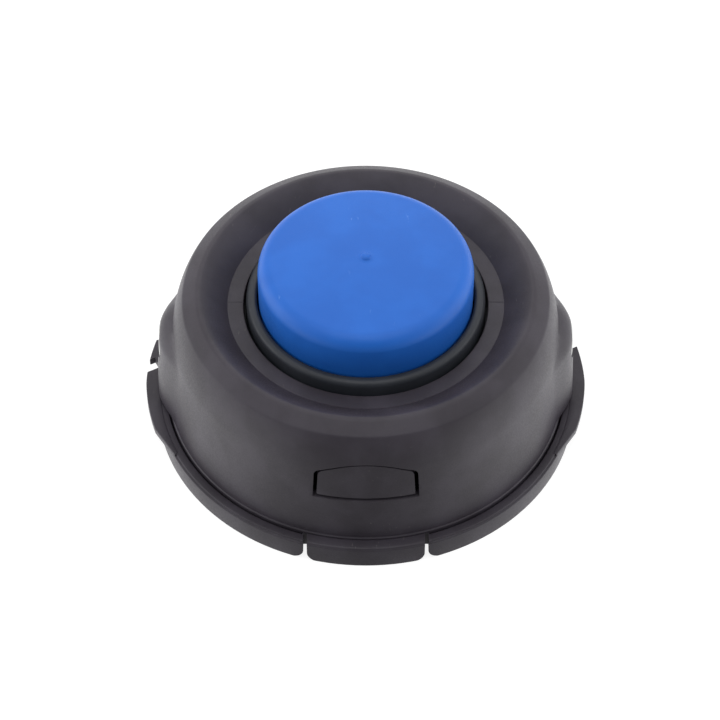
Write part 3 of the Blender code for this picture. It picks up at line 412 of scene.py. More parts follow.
def eased(piece: bpy.types.Object, chosen: Callable[[bmesh.types.BMEdge], bool], offset: float,
          segments: int) -> None:
    """Bevels some edges of a piece.

    Args:
        piece: The piece, which is changed.
        chosen: Tells whether an edge is one of them.
        offset: The bevel's width in millimetres.
        segments: Its facets.
    """
    shape = bmesh.new()
    shape.from_mesh(piece.data)
    edges = [edge for edge in shape.edges if chosen(edge)]
    bmesh.ops.bevel(
        shape, geom=edges, offset=offset * MM, segments=segments, profile=0.5, affect="EDGES",
        clamp_overlap=True, material=-1,
    )
    shape.to_mesh(piece.data)
    shape.free()


# Finishes


def linear(code: str) -> tuple[float, float, float, float]:
    """Turns an sRGB hex colour into a linear colour.

    Args:
        code: The colour as a hash sign and six digits.

    Returns:
        Linear red, green and blue, and full alpha.
    """
    channels = [int(code[start:start + 2], 16) / 255 for start in (1, 3, 5)]
    red, green, blue = (
        value / 12.92 if value <= 0.04045 else ((value + 0.055) / 1.055) ** 2.4 for value in channels
    )
    return red, green, blue, 1.0


def node(tree: bpy.types.NodeTree, kind: str, settings: dict | None = None,
         inputs: dict | None = None) -> bpy.types.Node:
    """Adds a node.

    Args:
        tree: The node tree to add to.
        kind: The node's type.
        settings: Its properties.
        inputs: Its inputs by name or number, each a value or another node's output to link.

    Returns:
        The new node.
    """
    new = tree.nodes.new(kind)
    for name, value in (settings or {}).items():
        setattr(new, name, value)
    for name, value in (inputs or {}).items():
        if isinstance(value, bpy.types.NodeSocket):
            tree.links.new(value, new.inputs[name])
        else:
            new.inputs[name].default_value = value
    return new


def ramp(tree: bpy.types.NodeTree, factor: bpy.types.NodeSocket,
         stops: Sequence[tuple[float, str]]) -> bpy.types.NodeSocket:
    """Maps a factor to colours.

    Args:
        tree: The node tree to add to.
        factor: The factor, from 0 to 1.
        stops: Position and sRGB hex colour of each stop.

    Returns:
        The colour's socket.
    """
    new = node(tree, "ShaderNodeValToRGB", inputs={"Fac": factor})
    elements = new.color_ramp.elements
    while len(elements) < len(stops):
        elements.new(0.5)
    for element, (position, code) in zip(elements, stops):
        element.position = position
        element.color = linear(code)
    return new.outputs["Color"]


class Finish:
    """A finish that is the same all over, which other finishes add a pattern to."""

    def __init__(self, name: str, slot: str, colour: str, roughness: float, metallic: float = 0.0) -> None:
        """Starts the material.

        Args:
            name: The finish in a maker's words.
            slot: The record's material slot.
            colour: Base colour as sRGB hex.
            roughness: Roughness of the surface.
            metallic: 1 for bare metal.
        """
        self.slot = slot
        self.material = bpy.data.materials.new(name)
        self.material.use_nodes = True
        self.tree = self.material.node_tree
        self.shader = self.tree.nodes["Principled BSDF"]
        self.shader.inputs["Base Color"].default_value = linear(colour)
        self.shader.inputs["Roughness"].default_value = roughness
        self.shader.inputs["Metallic"].default_value = metallic
        self.place = node(self.tree, "ShaderNodeTexCoord").outputs["Object"]

    def noise(self, grain: float, detail: float = 2.0,
              stretch: Sequence[float] = (1, 1, 1)) -> bpy.types.NodeSocket:
        """Adds noise.

        Args:
            grain: Width of a grain in millimetres.
            detail: How many finer layers it has.
            stretch: Scale along each axis, under 1 where the grains are longer.

        Returns:
            The noise's socket.
        """
        spread = node(self.tree, "ShaderNodeMapping", inputs={"Vector": self.place, "Scale": tuple(stretch)})
        scale = 1 / (grain * MM)
        return node(self.tree, "ShaderNodeTexNoise", inputs={
            "Vector": spread.outputs["Vector"], "Scale": scale, "Detail": detail,
        }).outputs["Fac"]

    def math(self, operation: str, first: object, second: object = 0.0) -> bpy.types.NodeSocket:
        """One step of arithmetic on values or sockets."""
        return node(self.tree, "ShaderNodeMath", {"operation": operation}, {0: first, 1: second}).outputs[0]

    def band(self, factor: bpy.types.NodeSocket, low: float, high: float, floor: float = 0.0,
             top: float = 1.0) -> bpy.types.NodeSocket:
        """Maps a factor from one range to another, smoothly and without passing its ends."""
        return node(self.tree, "ShaderNodeMapRange", {"interpolation_type": "SMOOTHSTEP"}, {
            "Value": factor, "From Min": low, "From Max": high, "To Min": floor, "To Max": top,
        }).outputs["Result"]

    def mixed(self, factor: object, first: object, second: object) -> bpy.types.NodeSocket:
        """Mixes two colours by a factor."""
        inputs = {0: factor, 6: first, 7: second}
        return node(self.tree, "ShaderNodeMix", {"data_type": "RGBA"}, inputs).outputs[2]

    def link(self, socket: bpy.types.NodeSocket, name: str) -> None:
        """Feeds an input of the shader."""
        self.tree.links.new(socket, self.shader.inputs[name])

    def bump(self, *layers: tuple[bpy.types.NodeSocket, float]) -> None:
        """Stacks bumps onto the shader's normal.

        Args:
            layers: Height pattern and depth in millimetres of each bump.
        """
        normal = None
        for height, depth in layers:
            inputs = {"Height": height, "Distance": depth * MM, "Strength": 1.0}
            if normal is not None:
                inputs["Normal"] = normal
            normal = node(self.tree, "ShaderNodeBump", inputs=inputs).outputs["Normal"]
        self.link(normal, "Normal")


class MouldedNylon(Finish):
    """Glass-filled polyamide from a spark-eroded mould: fine matt grain, faint flow marks and rub marks."""

    def __init__(self, name: str, slot: str, body: tuple[str, str], rub: str, roughness: float,
                 specular: float) -> None:
        """Builds the finish.

        Args:
            name: The finish in a maker's words.
            slot: The record's material slot.
            body: Darker and lighter shade of the plastic.
            rub: Colour of rub marks.
            roughness: Middle of the roughness range.
            specular: The shader's specular level, 0.5 for an index of 1.5.
        """
        super().__init__(name, slot, body[0], roughness)
        self.shader.inputs["IOR"].default_value = 1.53
        self.shader.inputs["Specular IOR Level"].default_value = specular
        cloudy = self.band(self.noise(14.0, 3.0), 0.35, 0.7)
        shade = self.mixed(cloudy, linear(body[0]), linear(body[1]))
        marks = self.band(self.noise(0.9, 3.0, (1.0, 0.25, 1.0)), 0.66, 0.8)
        patches = self.band(self.noise(17.0, 1.0), 0.56, 0.72)
        rubbed = self.math("MULTIPLY", marks, patches)
        self.link(self.mixed(self.math("MULTIPLY", rubbed, 0.7), shade, linear(rub)), "Base Color")
        # The real grain is near 0.1 mm. It is drawn at 0.45 mm, because the render's pixels are 0.3 mm wide.
        grain = self.noise(0.45, 2.0)
        self.link(self.band(grain, 0.25, 0.75, roughness - 0.07, roughness + 0.07), "Roughness")
        self.bump((self.noise(9.0, 1.0), 0.08), (grain, 0.016))


class PlatedSteel(Finish):
    """Zinc-plated turned steel: bright, with fine tool marks round the axis and a faintly cloudy plating."""

    def __init__(self) -> None:
        """Builds the finish."""
        super().__init__("zinc_plated_steel", "zinc_steel", "#BFC0BE", 0.34, 1.0)
        cloud = self.noise(2.5, 3.0)
        self.link(ramp(self.tree, cloud, [(0.3, "#AEB0B1"), (0.7, "#C9C8C3")]), "Base Color")
        self.link(self.band(cloud, 0.3, 0.7, 0.28, 0.42), "Roughness")
        self.bump((self.noise(0.4, 1.0, (0.2, 0.2, 1.0)), 0.008))


class GroundSteel(Finish):
    """Through-hardened bearing steel, ground and polished."""

    def __init__(self) -> None:
        """Builds the finish."""
        super().__init__("ground_bearing_steel", "bearing_steel", "#CDCDCF", 0.16, 1.0)
        self.link(self.band(self.noise(0.5, 2.0, (0.2, 0.2, 1.0)), 0.3, 0.7, 0.12, 0.22), "Roughness")


class SpringWire(Finish):
    """Drawn carbon spring steel with a thin film of oil, which darkens it."""

    def __init__(self) -> None:
        """Builds the finish."""
        super().__init__("drawn_spring_steel", "spring_steel", "#8F9092", 0.36, 1.0)
        film = self.noise(1.6, 2.0)
        self.link(ramp(self.tree, film, [(0.3, "#7C7B79"), (0.7, "#9C9DA0")]), "Base Color")


class PressedBrass(Finish):
    """Pressed brass of the ball cage, slightly dulled by grease."""

    def __init__(self) -> None:
        """Builds the finish."""
        super().__init__("pressed_brass", "cage_brass", "#C9A35C", 0.32, 1.0)
        dull = self.noise(1.2, 2.0)
        self.link(ramp(self.tree, dull, [(0.35, "#B08A48"), (0.65, "#CFAA63")]), "Base Color")


class NitrileRubber(Finish):
    """Moulded nitrile rubber of the bearing seals: dull and slightly uneven."""

    def __init__(self) -> None:
        """Builds the finish."""
        super().__init__("nitrile_rubber", "seal_rubber", "#17171A", 0.62)
        self.bump((self.noise(0.5, 1.0), 0.01))


@dataclass(frozen=True)
class Finishes:
    """Every finish of the head."""

    black: Finish
    collar: Finish
    blue: Finish
    plated: Finish
    ground: Finish
    wire: Finish
    brass: Finish
    rubber: Finish


def finishes() -> Finishes:
    """Makes each finish once.

    Returns:
        All of them.
    """
    black, blue = "black_nylon", "blue_nylon"
    return Finishes(
        black=MouldedNylon("black_moulded_nylon", black, ("#312D34", "#3C3840"), "#736D6A", 0.48, 0.3),
        collar=MouldedNylon("black_turned_nylon", black, ("#2B2E34", "#31343A"), "#5A5C60", 0.42, 0.3),
        blue=MouldedNylon("blue_moulded_nylon", blue, ("#1A60BE", "#1E66C6"), "#7FA9E2", 0.45, 0.28),
        plated=PlatedSteel(),
        ground=GroundSteel(),
        wire=SpringWire(),
        brass=PressedBrass(),
        rubber=NitrileRubber(),
    )


def dressed(piece: bpy.types.Object, finish: Finish, body: str, *nodes: str,
            sharp: float = SHARP_DEGREES) -> None:
    """Shades a piece, gives it its finish and hands it to its body.

    Args:
        piece: The finished piece, in place.
        finish: What it is made of.
        body: The body that it rides on.
        nodes: The CAD nodes that it stands for.
        sharp: Angle in degrees above which an edge stays sharp.
    """
    piece.data.shade_smooth()
    piece.data.set_sharp_from_angle(angle=math.radians(sharp))
    piece.data.materials.clear()
    piece.data.materials.append(finish.material)
    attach(piece, body)
    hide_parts(*nodes)
    LOG.info("%s: %d faces on %s", piece.name, len(piece.data.polygons), body)


# The two halves of the casing


@dataclass(frozen=True)
class Casing:
    """Sizes in millimetres that the cover and the housing share."""

    wall: float = 2.4
    radius: float = 57.7
    draft: float = 0.092
    rim_height: float = 7.4
    foot: float = 5.1
    wall_top: float = 37.0
    pod_centre: float = 39.6
    pod_radius: float = 21.6
    pod_draft: float = 0.075
    pod_foot: float = 8.4
    pod_top: float = 35.0
    pod_rounding: float = 6.0
    pod_blend: float = 2.2
    outlet_height: float = 26.25
    outlet_mouth: float = 5.4
    window_half: float = 14.2
    window_flare: float = 0.5
    window_foot: float = 22.7
    window_rise: float = 14.2
    window_arch: float = 4.4
    window_corner: float = 2.4
    dog_inner: float = 36.45
    dog_outer: float = 43.25
    latch_inset: float = 2.8
    latch_arm: float = 2.2

    def wall_at(self, height: float) -> float:
        """Radius of the cover's drafted wall at a height."""
        return self.radius - (height - self.rim_height) * self.draft

    def pod_at(self, height: float) -> float:
        """Radius of a pod about its own axis at a height below its rounded top."""
        return self.pod_radius - (height - self.pod_foot) * self.pod_draft

    def pod_section(self, inset: float, foot: float) -> Outline:
        """Half section of a pod about its own axis.

        Args:
            inset: How far it is drawn in from the pod's face, in millimetres.
            foot: Height of its lower end.

        Returns:
            The open section, with both ends on the axis.
        """
        shoulder = self.pod_top - self.pod_rounding
        edge = self.pod_at(shoulder) - inset
        return rounded([
            (0.0, self.pod_top - inset, 0.0),
            (edge, self.pod_top - inset, self.pod_rounding - inset),
            (self.pod_at(foot) - inset, foot, 0.0),
            (0.0, foot, 0.0),
        ], steps=12)

    def pod_shape(self, section: Outline, turn: int, hand: Hand) -> bmesh.types.BMesh:
        """Spins an open half section about a pod's own axis.

        Args:
            section: The open half section, with both ends on the axis.
            turn: Facets of the full turn.
            hand: The pod's side.

        Returns:
            The closed shape.
        """
        shape = lathe(section, turn, closed=False)
        bmesh.ops.translate(shape, verts=shape.verts[:], vec=(hand.value * self.pod_centre * MM, 0, 0))
        return shape

    def pod_reach(self, angle: float, height: float) -> float:
        """Distance from the head's axis to a pod's face.

        Args:
            angle: Angle from the pod's middle about the head's axis, in radians.
            height: Height in millimetres.

        Returns:
            The distance, or 0 where there is no pod.
        """
        shoulder = self.pod_top - self.pod_rounding
        if height >= self.pod_top or math.cos(angle) <= 0:
            return 0.0
        radius = self.pod_at(min(height, shoulder))
        if height > shoulder:
            rise = height - shoulder
            radius += math.sqrt(self.pod_rounding**2 - rise**2) - self.pod_rounding
        aside = self.pod_centre * math.sin(angle)
        if abs(aside) >= radius:
            return 0.0
        return self.pod_centre * math.cos(angle) + math.sqrt(radius**2 - aside**2)

    def window(self, side_gap: float, foot_gap: float, top_gap: float) -> Outline:
        """Outline of a latch window, or of the hook that stands in it.

        Args:
            side_gap: Gap in millimetres at each side, 0 for the window itself.
            foot_gap: Gap below.
            top_gap: Gap above.

        Returns:
            The outline as seen along Y.
        """
        low = self.window_half + self.window_flare - side_gap
        high = self.window_half - side_gap
        foot = self.window_foot + foot_gap
        eaves = self.window_foot + self.window_rise - self.window_arch - top_gap
        span, spring_share, foot_corner = 0.7, 0.12, 0.4
        arch = curve(-span, span, 12, lambda t: (-t * high, eaves + self.window_arch * (1 - t * t)))
        spring = eaves + spring_share * self.window_arch
        return rounded([
            (-low, foot, foot_corner), (low, foot, foot_corner), (high, spring, self.window_corner),
            *arch, (-high, spring, self.window_corner),
        ])


CASING = Casing()


@dataclass
class Cover:
    """Black moulded cover on the tap side, which the housing's latches hold. Sizes are in millimetres."""

    finish: Finish
    crest_radius: float = 47.2
    crest: float = 47.9
    slope: float = 6.4
    bend_foot: float = 26.0
    bend_radius: float = 55.3
    bend_height: float = 39.5
    shoulder_radius: float = 51.9
    shoulder: float = 45.3
    foot_bead: float = 0.3
    bead_top: float = 7.9
    bead_end: float = 8.2
    ring_outer: float = 39.2
    ring_inner: float = 34.65
    ring_top: float = 42.2
    ring_foot: float = 39.8
    dog_tip: float = 36.2
    dog_phase: float = 15.0
    weld_line: float = 0.16
    window_edge: float = 0.3

    def section(self) -> Outline:
        """Section of the cover: wall, dome, slope to the recessed ring, and the inside.

        Returns:
            The closed section.
        """
        case = CASING
        top = case.wall_top
        reach = case.wall_at(top) - self.crest_radius
        drop = self.crest - top
        outer_wall = curve(0.0, 1.0, 30, lambda t: self.wall_point(
            case.pod_foot + (self.bend_foot - case.pod_foot) * t))
        bend = curve(0.04, 0.96, 24, self.bend_point)
        dome = [(self.shoulder_radius, self.shoulder, 1.6),
                (self.crest_radius + 0.6, self.crest - 0.05, 2.5)]
        slope = curve(0.08, 1.0, 14, self.slope_point)
        inner_dome = curve(90.0, 0.0, 10, lambda a: (
            self.crest_radius + (reach - case.wall) * math.cos(math.radians(a)),
            top + (drop - case.wall) * math.sin(math.radians(a))))
        return rounded([
            (case.wall_at(case.foot) + self.foot_bead, case.foot, 0.3),
            (case.wall_at(self.bead_top) + self.foot_bead, self.bead_top, 0.12),
            (case.wall_at(self.bead_end), self.bead_end, 0.1),
            (case.wall_at(case.pod_foot), case.pod_foot, 0.0),
            *outer_wall,
            *bend,
            *dome,
            *slope,
            (self.ring_inner, self.ring_top, 0.3),
            (self.ring_inner, self.ring_foot, 0.2),
            (case.dog_outer + case.wall, self.ring_foot, 1.0),
            *inner_dome,
            (case.wall_at(case.foot) - case.wall, case.foot, 0.4),
        ], steps=4)

    def wall_point(self, height: float) -> tuple[float, float]:
        """A point of the outer wall at a height."""
        return CASING.wall_at(height), height

    def bend_point(self, t: float) -> tuple[float, float]:
        """A point on the curve from the drafted wall up to the shoulder.

        Args:
            t: 0 at the wall and 1 at the shoulder.

        Returns:
            Radius and height in millimetres.
        """
        foot, pull, end = (1 - t) ** 2, 2 * t * (1 - t), t * t
        wall = CASING.wall_at(self.bend_foot)
        radius = foot * wall + pull * self.bend_radius + end * self.shoulder_radius
        return radius, foot * self.bend_foot + pull * self.bend_height + end * self.shoulder

    def slope_point(self, t: float) -> tuple[float, float]:
        """A point on the curve from the crest down to the recessed ring.

        Args:
            t: 0 at the crest and 1 at the ring.

        Returns:
            Radius and height in millimetres.
        """
        crest, pull, ring = (1 - t) ** 2, 2 * t * (1 - t), t * t
        edge = self.ring_outer + self.slope
        radius = crest * self.crest_radius + pull * edge + ring * self.ring_outer
        return radius, (crest + pull) * self.crest + ring * self.ring_top

    def swell_pods(self, shape: bmesh.types.BMesh) -> None:
        """Pushes the wall out to the pods, with a soft fillet where they meet.

        Args:
            shape: The cover's skin, which is changed.
        """
        case, near = CASING, 1e-3
        for corner in shape.verts:
            height = corner.co.z / MM
            radius = corner.co.xy.length / MM
            wall = min(case.wall_at(height), radius)
            inside = radius < case.wall_at(height) - case.wall / 2
            if inside or height < case.pod_foot - near or height > case.pod_top:
                continue
            if height < case.pod_foot + near and self.is_lower_lip(corner):
                continue
            angle = math.atan2(abs(corner.co.y), abs(corner.co.x))
            pod = case.pod_reach(angle, height)
            blend = max(case.pod_blend - abs(wall - pod), 0.0) / case.pod_blend
            swollen = max(wall, pod) + blend * blend * case.pod_blend / 4
            corner.co.x *= swollen / radius
            corner.co.y *= swollen / radius

    def is_lower_lip(self, corner: bmesh.types.BMVert) -> bool:
        """Whether a corner at the pods' foot belongs to the wall below them."""
        return any(link.other_vert(corner).co.z < corner.co.z - 0.5 * MM for link in corner.link_edges)

    def build(self) -> None:
        """Builds and dresses the cover."""
        case = CASING
        shape = lathe(self.section(), COVER_TURN)
        self.swell_pods(shape)
        cover = made("cover_shell", shape)
        below = -4.0
        hollow = case.pod_section(case.wall, below)
        worked(cover, Join.CUT, grouped([case.pod_shape(hollow, SMALL_TURN, hand) for hand in Hand]))
        mouth = rounded([
            (-case.outlet_mouth, below, 0.0), (case.outlet_mouth, below, 0.0),
            (case.outlet_mouth, case.outlet_height + case.outlet_mouth, case.outlet_mouth),
            (-case.outlet_mouth, case.outlet_height + case.outlet_mouth, case.outlet_mouth),
        ], steps=16)
        worked(cover, Join.CUT, grouped([
            prism(mouth, case.pod_radius, at(hand.value * (case.pod_centre + case.pod_radius)) @ FACING_X)
            for hand in Hand
        ]))
        worked(cover, Join.CUT, grouped([
            prism(case.window(0.0, 0.0, 0.0), WINDOW_BLOCK,
                  at(y=side.value * (case.radius - WINDOW_INSET)) @ FACING_Y)
            for side in Side
        ]))
        middle = (self.ring_inner + self.ring_outer) / 2
        line = (self.ring_outer - self.ring_inner, self.weld_line, self.weld_line)
        worked(cover, Join.CUT, grouped([
            block(line, at(hand.value * middle, 0.0, self.ring_top)) for hand in Hand
        ]))
        worked(cover, Join.ADD, dogs(
            case.dog_inner, case.dog_outer, self.ring_foot + OVERLAP, self.dog_tip, self.dog_phase))
        eased(cover, self.is_window_edge, self.window_edge, 2)
        dressed(cover, self.finish, "head", "cover")

    def is_window_edge(self, edge: bmesh.types.BMEdge) -> bool:
        """Tells whether an edge is a window's outer edge, which catches the light on the real cover.

        Args:
            edge: An edge of the cover, with its windows cut.

        Returns:
            Whether it lies on the wall's face round a window, and is folded like a corner.
        """
        case, front, fold = CASING, 45.0, 50.0
        return all(
            abs(v.co.x) < (case.window_half + 1.0) * MM and abs(v.co.y) > front * MM
            and (case.window_foot - 0.5) * MM < v.co.z < (case.wall_top + 1.0) * MM
            and v.co.xy.length > (case.wall_at(v.co.z / MM) - 0.4) * MM for v in edge.verts
        ) and edge.calc_face_angle(0.0) > math.radians(fold)


@dataclass
class Housing:
    """Black moulded housing on the drive side: rim, ledges, latches and towers. Sizes are in millimetres."""

    finish: Finish
    rim: float = 61.5
    rim_width: float = 3.0
    skirt: float = 2.2
    floor_top: float = 7.0
    floor: float = 2.6
    channel: float = 4.8
    hub: float = 17.5
    hub_face: float = 0.8
    post: float = 11.6
    post_top: float = 27.2
    bore: float = 6.6
    ledge: float = 64.6
    ledge_thickness: float = 2.4
    ledge_rise: float = 0.12
    ledge_fall: float = 1.0
    ledge_front: float = 16.5
    front_taper: float = 10.2
    ledge_back: float = 14.6
    back_taper: float = 2.8
    notch: float = 4.1
    notch_skew: float = 28.0
    left_notch: float = -5.3
    right_notch: float = 14.1
    tab_half: float = 16.5
    tab_top: float = 7.66
    slot: float = 1.0
    slot_depth: float = 7.0
    tab_corner: float = 3.0
    rim_corner: float = 4.0
    tongue_half: float = 5.1
    tongue_inset: float = 0.3
    tower_half: float = 6.5
    tower_inner: float = 52.0
    eyelet: float = 5.3
    ribs: int = 12
    rib: float = 1.8
    rib_phase: float = 15.0
    arm_foot: float = 6.7
    arm_top: float = 34.6
    hook_gaps: tuple[float, float, float] = (1.1, 1.0, 0.4)
    hook_inset: float = 0.3
    dog_tip: float = 10.2
    dog_phase: float = 15.0
    hexagon: float = 12.47
    hexagon_top: float = 5.0
    insert_bore: float = 8.5
    insert_top: float = 17.4
    mouth_edge: float = 0.5

    def section(self) -> Outline:
        """Section of rim, channel and floor.

        Returns:
            The closed section.
        """
        channel_inner = CASING.wall_at(CASING.foot) - CASING.latch_inset
        under_floor = self.floor_top - self.floor
        return rounded([
            (self.rim - 0.75, CASING.rim_height, 0.25),
            (self.rim - 0.6, CASING.rim_height - 0.5, 0.1),
            (self.rim, CASING.rim_height - 0.6, 0.25),
            (self.rim, 0.0, 0.3),
            (self.rim - self.skirt, 0.0, 0.5),
            (self.rim - self.skirt, self.channel - self.skirt, 0.6),
            (channel_inner, self.channel - self.skirt, 0.0),
            (channel_inner - self.floor, under_floor, 0.0),
            (self.post - OVERLAP, under_floor, 0.0),
            (self.post - OVERLAP, self.floor_top, 0.0),
            (channel_inner, self.floor_top, 0.3),
            (channel_inner, self.channel, 0.2),
            (self.rim - self.rim_width, self.channel, 0.2),
            (self.rim - self.rim_width, CASING.rim_height, 0.3),
        ], steps=4)

    def post_section(self) -> Outline:
        """Section of the hub and the post.

        Returns:
            The closed section.
        """
        return rounded([
            (self.hub, self.floor_top - OVERLAP, 0.0),
            (self.hub, self.hub_face, 0.4),
            (self.bore, self.hub_face, 0.2),
            (self.bore, self.post_top, 0.2),
            (self.post, self.post_top, 0.6),
            (self.post, self.floor_top - OVERLAP, 0.0),
        ], steps=3)

    def ledge_shape(self, hand: Hand) -> bmesh.types.BMesh:
        """One ledge: an arc beyond the rim whose ends are drawn back to it, further round at the front.

        Args:
            hand: The ledge's side.

        Returns:
            The closed ledge, which reaches into the rim.
        """
        root = self.rim - 1.35
        tip, foot = -self.ledge_front - self.front_taper, self.ledge_back + self.back_taper
        face = curve(-self.ledge_front, self.ledge_back, 20, self.ledge_point)
        start = self.on_circle(tip, self.rim - 0.15)
        inner = curve(foot, tip, 12, lambda a: self.on_circle(a, root))
        outline = rounded([(x, hand.value * y, edge) for x, y, edge in ((*start, 0.0), *face, *inner)])
        middle = CASING.rim_height + self.ledge_rise - self.ledge_thickness / 2
        return prism(outline, self.ledge_thickness, at(z=middle, turn=90 - 90 * hand.value), edge=0.3)

    def on_circle(self, angle: float, radius: float) -> tuple[float, float]:
        """A point at an angle in degrees on a circle about the axis."""
        return radius * math.cos(math.radians(angle)), radius * math.sin(math.radians(angle))

    def ledge_point(self, angle: float) -> tuple[float, float]:
        """A point of a ledge's outer face, which falls towards its front end."""
        return self.on_circle(angle, self.ledge - self.ledge_fall * max(-angle, 0.0) / self.ledge_front)

    def notch_shape(self, hand: Hand, angle: float) -> bmesh.types.BMesh:
        """The slanting notch that holds a line's end.

        Args:
            hand: The ledge's side.
            angle: Angle in degrees from the ledge's middle.

        Returns:
            The block to cut away.
        """
        turn = 90 - 90 * hand.value
        depth = self.ledge - self.rim
        reach = (self.rim + self.ledge) / 2 + depth / 2
        middle = round_axis(turn + angle, reach, CASING.rim_height).translation
        place = Matrix.Translation(middle) @ at(turn=turn + self.notch_skew)
        return block((2 * depth, self.notch, CASING.rim_height), place)

    def tab_shape(self, side: Side) -> bmesh.types.BMesh:
        """The raised tab under a window, which closes the channel in front of the cover's wall.

        Args:
            side: The window's side.

        Returns:
            The closed tab.
        """
        outer, inner = self.rim - 0.15, CASING.wall_at(CASING.foot) + 0.12
        half = math.degrees(math.asin(self.tab_half / self.rim)) + 2.0
        outline = rounded([
            (outer, self.tab_top, 0.7), (outer, self.channel - OVERLAP, 0.0),
            (inner, self.channel - OVERLAP, 0.0), (inner, self.tab_top, 0.3),
        ], steps=4)
        middle = 90 * side.value
        return sector(outline, middle - half, middle + half, 26)

    def tower_shape(self, hand: Hand) -> bmesh.types.BMesh:
        """The tower that carries an eyelet.

        Args:
            hand: The eyelet's side.

        Returns:
            The closed tower.
        """
        case = CASING
        corner = math.sqrt((case.pod_at(case.outlet_height) - case.wall) ** 2 - self.tower_half**2)
        outer = case.pod_centre + corner - 0.4
        foot = self.floor_top - OVERLAP
        size = (outer - self.tower_inner, 2 * self.tower_half, case.outlet_height - foot)
        middle = hand.value * (outer + self.tower_inner) / 2
        return block(size, at(middle, 0.0, (case.outlet_height + foot) / 2), edge=0.3)

    def tongue(self, hand: Hand) -> bpy.types.Object:
        """The tongue that closes a pod's mouth below the eyelet, with a face that follows the pod's.

        Args:
            hand: The eyelet's side.

        Returns:
            The tongue as an object.
        """
        case = CASING
        foot = self.channel - OVERLAP
        depth = self.ledge - self.tower_inner - 1.0
        size = (depth, 2 * self.tongue_half, case.outlet_height - foot)
        place = at(hand.value * (self.ledge - depth / 2), 0.0, (case.outlet_height + foot) / 2)
        piece = made("tongue", block(size, place))
        section = case.pod_section(self.tongue_inset, foot - OVERLAP)
        worked(piece, Join.TRIM, case.pod_shape(section, COVER_TURN // 2, hand))
        return piece

    def latch(self, side: Side, outline: Outline, face: float, depth: float) -> bpy.types.Object:
        """A part of a latch: an outline trimmed to a shell that follows the cover's wall.

        Args:
            side: The latch's side.
            outline: Its outline as seen along Y.
            face: How far its face lies inside the cover's wall, in millimetres.
            depth: Its thickness.

        Returns:
            The trimmed piece.
        """
        case = CASING
        place = at(y=side.value * (case.radius - WINDOW_INSET)) @ FACING_Y
        piece = made("latch", prism(outline, WINDOW_BLOCK, place))
        top, foot = case.wall_top, 0.0
        shell = rounded([
            (case.wall_at(top) - face, top, 0.0), (case.wall_at(foot) - face, foot, 0.0),
            (case.wall_at(foot) - face - depth, foot, 0.0),
            (case.wall_at(top) - face - depth, top, 0.0),
        ])
        worked(piece, Join.TRIM, lathe(shell, COVER_TURN))
        return piece

    def absorb(self, housing: bpy.types.Object, other: bpy.types.Object) -> None:
        """Joins another object to the housing.

        Args:
            housing: The housing.
            other: The object to join, which is used up.
        """
        shape = bmesh.new()
        shape.from_mesh(other.data)
        bpy.data.objects.remove(other)
        worked(housing, Join.ADD, shape)

    def build(self) -> None:
        """Builds and dresses the housing."""
        case = CASING
        housing = made("housing_shell", lathe(self.section(), RIM_TURN))
        worked(housing, Join.ADD, lathe(self.post_section(), SMALL_TURN))
        under_floor = self.floor_top - self.floor
        reach = (self.hub - 0.4, self.rim - self.skirt / 2)
        worked(housing, Join.ADD, spokes(
            self.ribs, reach, (self.hub_face, under_floor + OVERLAP), self.rib, self.rib_phase))
        worked(housing, Join.ADD, grouped([self.tab_shape(side) for side in Side]))
        self.cut_slots(housing)
        worked(housing, Join.ADD, grouped([self.tower_shape(hand) for hand in Hand]))
        for hand in Hand:
            self.absorb(housing, self.tongue(hand))
        for hand, angle in ((Hand.LEFT, self.left_notch), (Hand.RIGHT, self.right_notch)):
            ledge = made("ledge", self.ledge_shape(hand))
            worked(ledge, Join.CUT, self.notch_shape(hand, angle))
            self.absorb(housing, ledge)
        worked(housing, Join.CUT, grouped([
            drum(self.eyelet, self.ledge, SMALL_TURN,
                 at(hand.value * self.ledge, 0.0, case.outlet_height) @ LYING_ALONG_X)
            for hand in Hand
        ]))
        half = case.window_half - self.hook_gaps[0]
        arm = rounded([(-half, self.arm_foot, 0.0), (half, self.arm_foot, 0.0),
                       (half, self.arm_top, 1.5), (-half, self.arm_top, 1.5)])
        hook = case.window(*self.hook_gaps)
        hook_depth = case.latch_inset + case.latch_arm / 2 - self.hook_inset
        for side in Side:
            self.absorb(housing, self.latch(side, arm, case.latch_inset, case.latch_arm))
            self.absorb(housing, self.latch(side, hook, self.hook_inset, hook_depth))
        worked(housing, Join.ADD, dogs(
            case.dog_inner, case.dog_outer, self.floor_top - OVERLAP, self.dog_tip, self.dog_phase))
        worked(housing, Join.CUT, drum(self.hexagon, self.hexagon_top * 2, 6, at()))
        worked(housing, Join.CUT, drum(self.insert_bore, self.insert_top * 2, SMALL_TURN, at()))
        eased(housing, self.is_mouth_edge, self.mouth_edge, 3)
        dressed(housing, self.finish, "head", "housing")

    def slot_outline(self, hand: Hand) -> Outline:
        """A slot as seen along Y: narrow above, and flared below round the corners of tab and rim.

        Args:
            hand: The slot's side of the tab.

        Returns:
            The closed outline.
        """
        near, far = self.tab_half, self.tab_half + self.slot
        below, above = -1.0, 20.0
        tab = curve(0.0, 90.0, 8, lambda a: (
            near - self.tab_corner * (1 - math.cos(math.radians(a))),
            self.tab_corner * (1 - math.sin(math.radians(a)))))
        rim = curve(90.0, 0.0, 8, lambda a: (
            far + self.rim_corner * (1 - math.cos(math.radians(a))),
            self.rim_corner * (1 - math.sin(math.radians(a)))))
        feet = [(tab[-1][0], below, 0.0), (rim[0][0], below, 0.0)]
        corners = [(near, above, 0.0), *tab, *feet, *rim, (far, above, 0.0)]
        return rounded([(hand.value * x, z, rounding) for x, z, rounding in corners])

